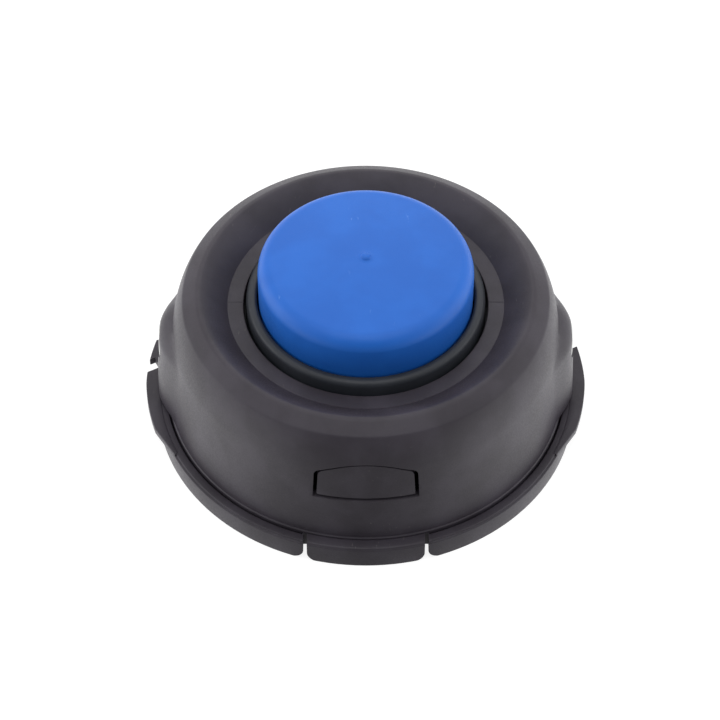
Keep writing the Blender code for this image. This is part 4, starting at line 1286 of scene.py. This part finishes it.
    def cut_slots(self, housing: bpy.types.Object) -> None:
        """Cuts the slots beside both tabs.

        Args:
            housing: The housing, with its tabs.
        """
        cutters = []
        for side in Side:
            for hand in Hand:
                y = side.value * math.sqrt(self.rim**2 - self.tab_half**2)
                cutters.append(prism(self.slot_outline(hand), self.slot_depth, at(y=y) @ FACING_Y))
        worked(housing, Join.CUT, grouped(cutters))

    def is_mouth_edge(self, edge: bmesh.types.BMEdge) -> bool:
        """Tells whether an edge belongs to a slot's mouth.

        Args:
            edge: An edge of the housing, with its slots cut.

        Returns:
            Whether it lies in a slot's side, out on the rim, and is folded.
        """
        near, rim_inner, front, fold = 1e-6, 58.2, 40, 20
        sides = (self.tab_half * MM, (self.tab_half + self.slot) * MM)
        return (
            any(all(abs(abs(v.co.x) - plane) < near for v in edge.verts) for plane in sides)
            and min(v.co.xy.length for v in edge.verts) > rim_inner * MM
            and min(abs(v.co.y) for v in edge.verts) > front * MM
            and edge.calc_face_angle(0.0) > math.radians(fold)
        )


# Everything that turns


@dataclass
class Spool:
    """Black moulded spool, whose collar stands round the button. Sizes are in millimetres."""

    finish: Finish
    collar_inner: float = 30.75
    collar_outer: float = 33.8
    collar_top: float = 45.9
    radius: float = 49.28
    core: float = 24.0
    cavity: float = 21.0
    upper_top: float = 35.9
    upper_foot: float = 33.9
    divider_top: float = 27.05
    divider_foot: float = 25.45
    lower_top: float = 18.6
    lower_foot: float = 16.6
    web_foot: float = 24.0
    web_top: float = 26.6
    web_bore: float = 12.0
    seat: float = 14.3
    seat_foot: float = 36.3
    groove: tuple[float, float] = (44.6, 46.2)
    groove_depth: float = 0.7
    boss: float = 17.3
    boss_top: float = 48.1
    upper_dog_tip: float = 39.5
    lower_dog_tip: float = 13.4
    ribs: int = 8
    rib: float = 1.6
    rib_phase: float = 22.5
    cut_height: float = 6.85
    port: float = 5.0
    port_depth: float = 18.0
    port_centre: float = 26.25
    notch: float = 2.4
    notch_depth: float = 12.0
    notch_centre: float = 34.9
    notch_turn: float = 15.0
    line_hole: float = 2.2
    line_hole_heights: tuple[float, float] = (22.025, 30.475)

    def section(self) -> Outline:
        """Section of flanges, divider, core, collar and bearing boss.

        Returns:
            The closed section.
        """
        seat, groove_foot, groove_top = self.seat, *self.groove
        neck = self.web_bore + 3.0
        return rounded([
            (self.collar_inner, self.collar_top, 0.8),
            (self.collar_outer, self.collar_top, 1.7),
            (self.collar_outer, self.upper_top, 0.4),
            (self.radius, self.upper_top, 0.5),
            (self.radius, self.upper_foot, 0.5),
            (self.core, self.upper_foot, 0.8),
            (self.core, self.divider_top, 0.8),
            (self.radius, self.divider_top, 0.4),
            (self.radius, self.divider_foot, 0.4),
            (self.core, self.divider_foot, 0.8),
            (self.core, self.lower_top, 0.8),
            (self.radius, self.lower_top, 0.5),
            (self.radius, self.lower_foot, 0.5),
            (self.cavity, self.lower_foot, 0.5),
            (self.cavity, self.web_foot, 0.3),
            (self.web_bore, self.web_foot, 0.3),
            (self.web_bore, self.seat_foot, 0.3),
            (seat, self.seat_foot, 0.0),
            (seat, groove_foot, 0.0),
            (seat + self.groove_depth, groove_foot, 0.0),
            (seat + self.groove_depth, groove_top, 0.0),
            (seat, groove_top, 0.0),
            (seat, self.boss_top, 0.3),
            (self.boss, self.boss_top, 0.3),
            (self.boss, self.seat_foot - 3.0, 0.5),
            (neck, self.seat_foot - 6.0, 0.5),
            (neck, self.web_top, 0.5),
            (self.cavity, self.web_top, 0.5),
            (self.cavity, self.upper_top, 0.3),
            (self.collar_inner, self.upper_top, 0.3),
        ], steps=4)

    def build(self) -> None:
        """Builds and dresses the spool."""
        case = CASING
        spool = made("spool_moulding", lathe(self.section(), SPOOL_TURN))
        for foot, tip in ((self.upper_top - OVERLAP, self.upper_dog_tip),
                          (self.lower_foot + OVERLAP, self.lower_dog_tip)):
            worked(spool, Join.ADD, dogs(case.dog_inner, case.dog_outer, foot, tip, 0.0))
        reach = (self.web_bore + 1.5, self.core - 1.5)
        rise = (self.web_top - OVERLAP, self.upper_top - OVERLAP)
        worked(spool, Join.ADD, spokes(self.ribs, reach, rise, self.rib, self.rib_phase))
        cuts = []
        for side in Side:
            port = (self.port, self.port_depth, self.cut_height)
            cuts.append(block(port, at(0.0, side.value * self.radius, self.port_centre), edge=0.8))
            notch = (self.notch, self.notch_depth, self.cut_height)
            angle = 90.0 - side.value * self.notch_turn
            cuts.append(block(notch, round_axis(angle, self.radius, self.notch_centre) @ at(turn=90.0)))
        for height in self.line_hole_heights:
            cuts.append(drum(self.line_hole, 12.0, 24, at(self.core, 0.0, height) @ LYING_ALONG_X))
        worked(spool, Join.CUT, grouped(cuts))
        dressed(spool, self.finish, "spool_rotor", "spool")


@dataclass
class TapButton:
    """Blue moulded button: a crowned cup with inner ribs and a stub. Sizes are in millimetres."""

    finish: Finish
    radius: float = 30.3
    wall: float = 2.6
    top: float = 61.0
    crown: float = 1.7
    rounding: float = 4.6
    foot: float = 38.3
    nub: float = 1.45
    nub_rise: float = 0.75
    stub: float = 5.7
    stub_foot: float = 33.6
    shoulder: float = 8.0
    shoulder_foot: float = 44.9
    groove: tuple[float, float] = (35.0, 36.6)
    groove_depth: float = 0.7
    ribs: int = 6
    rib: float = 1.8
    rib_foot: float = 50.5

    def crown_at(self, radius: float) -> float:
        """Height of the crowned top at a radius."""
        return self.top - self.crown * (radius / (self.radius - self.rounding)) ** 2

    def section(self) -> Outline:
        """Half section from the gate nub over the crown, round the cup and down the stub.

        Returns:
            The open section, with both ends on the axis.
        """
        groove_foot, groove_top = self.groove
        flat = self.radius - self.rounding
        edge = self.crown_at(flat)
        slant = math.degrees(math.atan(2 * self.crown / flat))
        nub = curve(90.0, 12.0, 6, lambda a: (
            self.nub * math.cos(math.radians(a)),
            self.top - 0.02 + self.nub_rise * math.sin(math.radians(a))))
        crown = curve(self.nub + 0.18, flat - 0.4, 24, lambda r: (r, self.crown_at(r)))
        corner = curve(90.0 - slant, 0.0, 16, lambda a: (
            flat + self.rounding * math.cos(math.radians(a)),
            edge - self.rounding + self.rounding * math.sin(math.radians(a))))
        inner = self.radius - self.wall
        ceiling = edge - self.wall
        return rounded([
            *nub,
            *crown,
            *corner,
            (self.radius, self.foot, 0.4),
            (inner, self.foot, 0.3),
            (inner, ceiling, 2.6),
            (self.shoulder, ceiling, 0.8),
            (self.shoulder, self.shoulder_foot, 0.2),
            (self.stub, self.shoulder_foot, 0.0),
            (self.stub, groove_top, 0.0),
            (self.stub - self.groove_depth, groove_top, 0.0),
            (self.stub - self.groove_depth, groove_foot, 0.0),
            (self.stub, groove_foot, 0.0),
            (self.stub, self.stub_foot, 0.4),
            (0.0, self.stub_foot, 0.0),
        ], steps=6)

    def build(self) -> None:
        """Builds and dresses the button."""
        button = made("tap_button_moulding", lathe(self.section(), SPOOL_TURN, closed=False))
        ceiling = self.crown_at(self.radius - self.rounding) - self.wall
        reach = (self.shoulder - 0.4, self.radius - self.wall + 0.4)
        worked(button, Join.ADD, spokes(
            self.ribs, reach, (self.rib_foot, ceiling + 2 * OVERLAP), self.rib, 0.0))
        dressed(button, self.finish, "button_rotor", "tap_button")


@dataclass
class Bearing:
    """Deep groove ball bearing, 12 x 28 x 8, with its circlip and the button's clip, in millimetres."""

    finish: Finishes
    bore: float = 6.0
    radius: float = 14.0
    width: float = 8.0
    foot: float = 36.6
    ball: float = 2.3
    gap: float = 0.3
    race_wall: float = 2.4
    cage: float = 1.8
    balls: int = 8
    seal: float = 0.5
    clip: float = 1.0
    circlip: tuple[float, float] = (12.8, 14.7)
    circlip_foot: float = 44.9
    circlip_opening: float = 20.0
    lug: float = 1.5
    lug_thickness: float = 0.98
    lug_hole: float = 0.65
    stub_clip: tuple[float, float] = (5.3, 8.3)
    stub_clip_foot: float = 35.3
    stub_clip_opening: float = 50.0

    @property
    def middle(self) -> float:
        """Height of the balls' centres."""
        return self.foot + self.width / 2

    @property
    def pitch(self) -> float:
        """Radius of the circle of the balls' centres."""
        return (self.bore + self.radius) / 2

    def race(self, shoulder: float, back: float) -> Outline:
        """Section of a race.

        Args:
            shoulder: Radius of the side with the raceway, in millimetres.
            back: Radius of its plain side.

        Returns:
            The closed section.
        """
        groove = self.ball + self.gap
        opening = math.degrees(math.acos(abs(shoulder - self.pitch) / groove))
        outward = shoulder > self.pitch
        middle = 0.0 if outward else 180.0
        ends = (middle - opening, middle + opening) if outward else (middle + opening, middle - opening)
        hollow = curve(*ends, 14, lambda a: (
            self.pitch + groove * math.cos(math.radians(a)),
            self.middle + groove * math.sin(math.radians(a))))
        top = self.foot + self.width
        return rounded([(back, self.foot, 0.5), (shoulder, self.foot, 0.15), *hollow,
                        (shoulder, top, 0.15), (back, top, 0.5)], steps=4)

    def build(self) -> None:
        """Builds and dresses every piece of the bearing and its clips."""
        steel = self.finish.ground
        outer_shoulder, inner_shoulder = self.radius - self.race_wall, self.bore + self.race_wall
        outer = made("outer_race", lathe(self.race(outer_shoulder, self.radius), SMALL_TURN))
        dressed(outer, steel, "spool_rotor", "bearing_outer_race")
        inner = made("inner_race", lathe(self.race(inner_shoulder, self.bore), SMALL_TURN))
        dressed(inner, steel, "button_rotor", "bearing_inner_race")
        for index in range(self.balls):
            shape = bmesh.new()
            bmesh.ops.create_uvsphere(shape, u_segments=32, v_segments=16, radius=self.ball * MM)
            place = round_axis(360 * index / self.balls, self.pitch, self.middle)
            bmesh.ops.transform(shape, matrix=place, verts=shape.verts[:])
            dressed(made(f"ball_{index + 1}", shape), steel, "cage_rotor", f"bearing_ball_{index + 1}")
        self.build_cage()
        self.build_seals(inner_shoulder + self.gap, outer_shoulder - self.gap)
        self.build_clips()

    def build_cage(self) -> None:
        """Builds the brass cage with a pocket for each ball."""
        half, pocket = self.cage / 2, self.ball + self.gap
        rise = pocket + 0.55
        cage = made("ball_cage", lathe(rounded([
            (self.pitch + half, self.middle + rise, 0.3), (self.pitch + half, self.middle - rise, 0.3),
            (self.pitch - half, self.middle - rise, 0.3), (self.pitch - half, self.middle + rise, 0.3),
        ], steps=3), SMALL_TURN))
        worked(cage, Join.CUT, grouped([
            drum(pocket, 4 * self.cage, 32,
                 round_axis(360 * index / self.balls, self.pitch, self.middle) @ LYING_ALONG_X)
            for index in range(self.balls)
        ]))
        dressed(cage, self.finish.brass, "cage_rotor", "bearing_cage")

    def build_seals(self, inner: float, outer: float) -> None:
        """Builds the two rubber seals, each with a shallow stiffening groove.

        Args:
            inner: Inner radius in millimetres.
            outer: Outer radius.
        """
        for name, side in (("lower", -1), ("upper", 1)):
            middle = self.middle + side * (self.width / 2 - 0.4)
            face, dip = middle + side * self.seal / 2, middle + side * self.seal / 10
            back = middle - side * self.seal / 2
            seal = lathe(rounded([
                (outer, back, 0.1), (outer, face, 0.1), (outer - 0.7, face, 0.05), (outer - 0.9, dip, 0.05),
                (inner + 0.9, dip, 0.05), (inner + 0.7, face, 0.05), (inner, face, 0.1), (inner, back, 0.1),
            ], steps=2), SMALL_TURN)
            dressed(made(f"seal_{name}", seal), self.finish.rubber, "spool_rotor", f"bearing_seal_{name}")

    def build_clips(self) -> None:
        """Builds the circlip above the outer race and the clip below the inner race."""
        circlip = made("circlip", self.open_ring(self.circlip, self.circlip_foot, self.circlip_opening))
        inner, middle = self.circlip[0], self.circlip_foot + self.clip / 2
        ends = [
            at(inner * math.cos(angle), inner * math.sin(angle), middle)
            for angle in (math.radians(-self.circlip_opening), math.radians(self.circlip_opening))
        ]
        lugs = [drum(self.lug, self.lug_thickness, 32, place) for place in ends]
        worked(circlip, Join.ADD, grouped(lugs))
        holes = [drum(self.lug_hole, 4 * self.clip, 24, place) for place in ends]
        worked(circlip, Join.CUT, grouped(holes))
        dressed(circlip, self.finish.wire, "spool_rotor", "bearing_circlip")
        clip = made("stub_clip", self.open_ring(self.stub_clip, self.stub_clip_foot, self.stub_clip_opening))
        dressed(clip, self.finish.wire, "button_rotor", "button_clip")

    def open_ring(self, radii: tuple[float, float], foot: float, half_opening: float) -> bmesh.types.BMesh:
        """A flat spring clip with an opening at +X.

        Args:
            radii: Inner and outer radius in millimetres.
            foot: Height of its lower face.
            half_opening: Half the opening, in degrees.

        Returns:
            The closed ring.
        """
        inner, outer = radii
        top = foot + self.clip
        outline = rounded([(inner, foot, 0.1), (outer, foot, 0.1), (outer, top, 0.1), (inner, top, 0.1)],
                          steps=2)
        return sector(outline, half_opening, 360 - half_opening, SMALL_TURN)


@dataclass
class Hardware:
    """Insert, eyelets, spring and thrust washer. Sizes are in millimetres."""

    finish: Finishes
    hexagon: float = 21.0
    thread_major: float = 6.0
    thread_minor: float = 5.15
    thread_pitch: float = 1.75
    flange: float = 3.6
    flange_middle: float = 2.9
    shank: float = 8.2
    shank_top: float = 17.1
    washer: tuple[float, float] = (12.3, 16.7)
    washer_rise: tuple[float, float] = (22.7, 23.7)
    wire: float = 0.8
    spring_radius: float = 13.2
    spring_rise: tuple[float, float] = (8.1, 21.6)
    spring_turns: int = 5
    closed_pitch: float = 1.75
    sleeve: float = 5.0
    sleeve_bore: float = 3.2
    sleeve_mouth: float = 0.9
    collar: float = 6.3
    collar_length: float = 1.4

    def build(self) -> None:
        """Builds and dresses each piece."""
        self.build_insert()
        self.build_eyelets()
        self.build_spring()
        (inner, outer), (foot, top), edge = self.washer, self.washer_rise, 0.2
        washer = rounded([(outer, top, edge), (outer, foot, edge), (inner, foot, edge), (inner, top, edge)],
                         steps=2)
        washer_ring = made("washer", lathe(washer, SMALL_TURN))
        dressed(washer_ring, self.finish.plated, "tap_carriage", "thrust_washer")

    def build_insert(self) -> None:
        """Builds the steel insert: chamfered hexagon, shank and the thread of the drive shaft."""
        corner = self.hexagon / 2 / math.cos(math.radians(30))
        insert = made("shaft_insert", drum(corner, self.flange, 6, at(z=self.flange_middle)))
        face, above = self.flange_middle - self.flange / 2, 20.0
        envelope = rounded([(0.0, face, 0.0), (10.6, face, 0.0), (corner + 0.1, 2.0, 0.0),
                            (corner + 0.1, above, 0.0), (0.0, above, 0.0)])
        worked(insert, Join.TRIM, lathe(envelope, SMALL_TURN, closed=False))
        shank = rounded([(0.0, face + 0.5, 0.0), (self.shank, face + 0.5, 0.0),
                         (self.shank, self.shank_top, 0.6), (0.0, self.shank_top, 0.0)])
        worked(insert, Join.ADD, lathe(shank, SMALL_TURN, closed=False))
        bore = rounded([(0.0, 0.0, 0.0), (6.7, 0.0, 0.0), (self.thread_minor, 2.0, 0.0),
                        (self.thread_minor, above, 0.0), (0.0, above, 0.0)])
        worked(insert, Join.CUT, lathe(bore, SMALL_TURN, closed=False))
        worked(insert, Join.CUT, self.thread())
        dressed(insert, self.finish.plated, "head", "threaded_insert")

    def thread(self) -> bmesh.types.BMesh:
        """The thread's groove: a small section swept along a left-hand helix through the insert.

        Returns:
            The closed groove, to cut away.
        """
        pitch, turns, steps, low = self.thread_pitch, 12, 36, -1.0
        mouth, mouth_half, root, root_half = self.thread_minor - OVERLAP, 0.48, self.thread_major, 0.07
        shape = bmesh.new()
        section = [(mouth, -mouth_half * pitch), (root, -root_half * pitch),
                   (root, root_half * pitch), (mouth, mouth_half * pitch)]
        corners = [shape.verts.new((radius * MM, 0.0, (low + rise) * MM)) for radius, rise in section]
        face = shape.faces.new(corners)
        bmesh.ops.spin(
            shape, geom=[face, *face.edges, *corners], cent=(0, 0, 0), axis=(0, 0, 1),
            angle=-2 * math.pi * turns, steps=turns * steps, dvec=(0, 0, pitch * MM / steps),
        )
        return tidied(shape)

    def build_eyelets(self) -> None:
        """Builds the two steel sleeves that the lines run out through, with rounded mouths."""
        low, high = (corner.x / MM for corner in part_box("eyelet_right"))
        length = high - low
        outline = rounded([
            (self.sleeve, length, 0.3), (self.sleeve, self.collar_length, 0.2),
            (self.collar, self.collar_length, 0.3), (self.collar, 0.0, 0.3),
            (self.sleeve_bore, 0.0, self.sleeve_mouth), (self.sleeve_bore, length, self.sleeve_mouth),
        ])
        for name, turn in (("left", 180.0), ("right", 0.0)):
            shape = lathe(outline, SMALL_TURN)
            place = at(turn=turn) @ at(low, 0.0, CASING.outlet_height) @ LYING_ALONG_X
            bmesh.ops.transform(shape, matrix=place, verts=shape.verts[:])
            dressed(made(f"line_eyelet_{name}", shape), self.finish.plated, "head", f"eyelet_{name}")

    def build_spring(self) -> None:
        """Builds the spring: a wire section swept along a helix with a closed turn at each end."""
        steps, closed, open_turns = 48, self.closed_pitch, self.spring_turns - 2
        foot, top = self.spring_rise
        open_pitch = (top - foot - 2 * closed) / open_turns
        shape = bmesh.new()
        ring = bmesh.ops.create_circle(shape, cap_ends=True, segments=16, radius=self.wire * MM)["verts"]
        bmesh.ops.transform(shape, matrix=at(self.spring_radius, 0.0, foot) @ FACING_Y, verts=ring)
        geometry = [*shape.verts, *shape.edges, *shape.faces]
        for stretch, pitch in ((1, closed), (open_turns, open_pitch), (1, closed)):
            swept = bmesh.ops.spin(
                shape, geom=geometry, cent=(0, 0, 0), axis=(0, 0, 1), angle=2 * math.pi * stretch,
                steps=steps * stretch, dvec=(0, 0, pitch * MM / steps),
            )
            geometry = swept["geom_last"]
        spring = made("feed_spring", tidied(shape))
        dressed(spring, self.finish.wire, "tap_carriage", "spring", sharp=60.0)
        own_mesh(spring)


# Setting, light and camera


@dataclass(frozen=True)
class Studio:
    """Floor, light and camera. Lengths are in metres."""

    elevation: float = 49.22
    distance: float = 0.7
    aim: tuple[float, float, float] = (-0.00163, 0.0, 0.01708)
    focal_pixels: float = 2401.0
    frame_pixels: int = 720
    sensor: float = 36.0
    floor: float = 4.0

    def build(self) -> None:
        """Sets up the whole studio."""
        self.build_floor()
        self.build_world()
        self.build_lamps()
        self.build_camera()

    def build_floor(self) -> None:
        """A large floor that looks white and keeps a faint trace of the head's shadow."""
        shape = bmesh.new()
        bmesh.ops.create_grid(shape, x_segments=1, y_segments=1, size=self.floor)
        floor = made("floor", shape)
        material = bpy.data.materials.new("white_floor")
        material.use_nodes = True
        tree = material.node_tree
        tree.nodes.clear()
        rays = node(tree, "ShaderNodeLightPath")
        seen = rays.outputs["Is Camera Ray"]
        grey = node(tree, "ShaderNodeBsdfDiffuse", inputs={"Color": linear("#8C8C8C")})
        white = node(tree, "ShaderNodeEmission", inputs={"Color": linear("#FFFFFF"), "Strength": 0.86})
        lit = node(tree, "ShaderNodeAddShader", inputs={0: grey.outputs[0], 1: white.outputs[0]})
        place = node(tree, "ShaderNodeTexCoord").outputs["Object"]
        glow = node(tree, "ShaderNodeMapRange", {"interpolation_type": "SMOOTHSTEP"}, {
            "Value": self.beside(tree, place), "From Min": -0.1, "From Max": 0.04, "To Min": 0.0,
            "To Max": 1.25,
        }).outputs["Result"]
        paper = node(tree, "ShaderNodeBsdfDiffuse", inputs={"Color": linear("#A8A8A8")})
        backlit = node(tree, "ShaderNodeEmission", inputs={"Color": linear("#FFFFFF"), "Strength": glow})
        unseen = node(tree, "ShaderNodeAddShader", inputs={0: paper.outputs[0], 1: backlit.outputs[0]})
        mix = node(tree, "ShaderNodeMixShader", inputs={
            "Fac": seen, 1: unseen.outputs[0], 2: lit.outputs[0]})
        node(tree, "ShaderNodeOutputMaterial", inputs={"Surface": mix.outputs[0]})
        floor.data.materials.append(material)

    def build_world(self) -> None:
        """Soft light from all round, weaker from the front, where the real studio was dark."""
        world = bpy.data.worlds.new("studio")
        bpy.context.scene.world = world
        world.use_nodes = True
        tree = world.node_tree
        tree.nodes.clear()
        rays = node(tree, "ShaderNodeLightPath")
        direction = node(tree, "ShaderNodeTexCoord").outputs["Generated"]
        front = node(tree, "ShaderNodeMapRange", {"interpolation_type": "SMOOTHSTEP"}, {
            "Value": self.beside(tree, direction), "From Min": -0.95, "From Max": 0.9, "To Min": 0.1,
            "To Max": 1.0,
        }).outputs["Result"]
        strength = node(tree, "ShaderNodeMix", {"data_type": "FLOAT"}, {
            0: rays.outputs["Is Camera Ray"], 2: front, 3: 1.0}).outputs[0]
        sky = node(tree, "ShaderNodeBackground", inputs={"Color": linear("#FFFFFF"), "Strength": strength})
        node(tree, "ShaderNodeOutputWorld", inputs={"Surface": sky.outputs[0]})

    def beside(self, tree: bpy.types.NodeTree, place: bpy.types.NodeSocket) -> bpy.types.NodeSocket:
        """Tells how far a place or direction lies beside or behind the head.

        Args:
            tree: The node tree to add to.
            place: The place or direction.

        Returns:
            A socket whose value is low only straight in front of the head.
        """
        parts = node(tree, "ShaderNodeSeparateXYZ", inputs={0: place})
        aside = node(tree, "ShaderNodeMath", {"operation": "ABSOLUTE"}, {0: parts.outputs["X"]}).outputs[0]
        inputs = {0: parts.outputs["Y"], 1: aside}
        return node(tree, "ShaderNodeMath", {"operation": "ADD"}, inputs).outputs[0]

    def build_lamps(self) -> None:
        """A broad softbox above, a weaker one behind and one at each side."""
        self.softbox("top", (0.0, -0.25, 0.95), 0.8, 2.6)
        self.softbox("back", (0.0, 0.7, 0.7), 0.8, 1.4)
        self.softbox("left", (-0.8, 0.1, 0.3), 0.5, 1.5)
        self.softbox("right", (0.8, 0.1, 0.3), 0.5, 1.0)

    def softbox(self, name: str, place: tuple[float, float, float], size: float, power: float) -> None:
        """Adds a square area lamp that faces the head.

        Args:
            name: The lamp's name.
            place: Where it stands.
            size: Length of its sides.
            power: Its power in watts.
        """
        lamp = bpy.data.lights.new(name, "AREA")
        lamp.size = size
        lamp.energy = power
        holder = bpy.data.objects.new(name, lamp)
        holder.location = place
        holder.rotation_euler = (Vector(self.aim) - Vector(place)).to_track_quat("-Z", "Y").to_euler()
        bpy.context.scene.collection.objects.link(holder)

    def build_camera(self) -> None:
        """The camera at the photograph's height and distance."""
        camera = bpy.data.cameras.new("camera")
        camera.sensor_width = self.sensor
        camera.lens = self.focal_pixels / self.frame_pixels * self.sensor
        holder = bpy.data.objects.new("camera", camera)
        tilt = math.radians(self.elevation)
        away = Vector((0.0, -math.cos(tilt), math.sin(tilt)))
        holder.location = Vector(self.aim) + away * self.distance
        holder.rotation_euler = (-away).to_track_quat("-Z", "Y").to_euler()
        bpy.context.scene.collection.objects.link(holder)
        bpy.context.scene.camera = holder
        bpy.context.scene.view_settings.view_transform = "Standard"


def main() -> None:
    """Builds the head, its finishes and the studio."""
    logging.basicConfig(level=logging.INFO, format="%(name)s: %(message)s")
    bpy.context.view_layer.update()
    finish = finishes()
    Cover(finish.black).build()
    Housing(finish.black).build()
    Spool(finish.collar).build()
    TapButton(finish.blue).build()
    Bearing(finish).build()
    Hardware(finish).build()
    Studio().build()


if __name__ == "__main__":
    main()
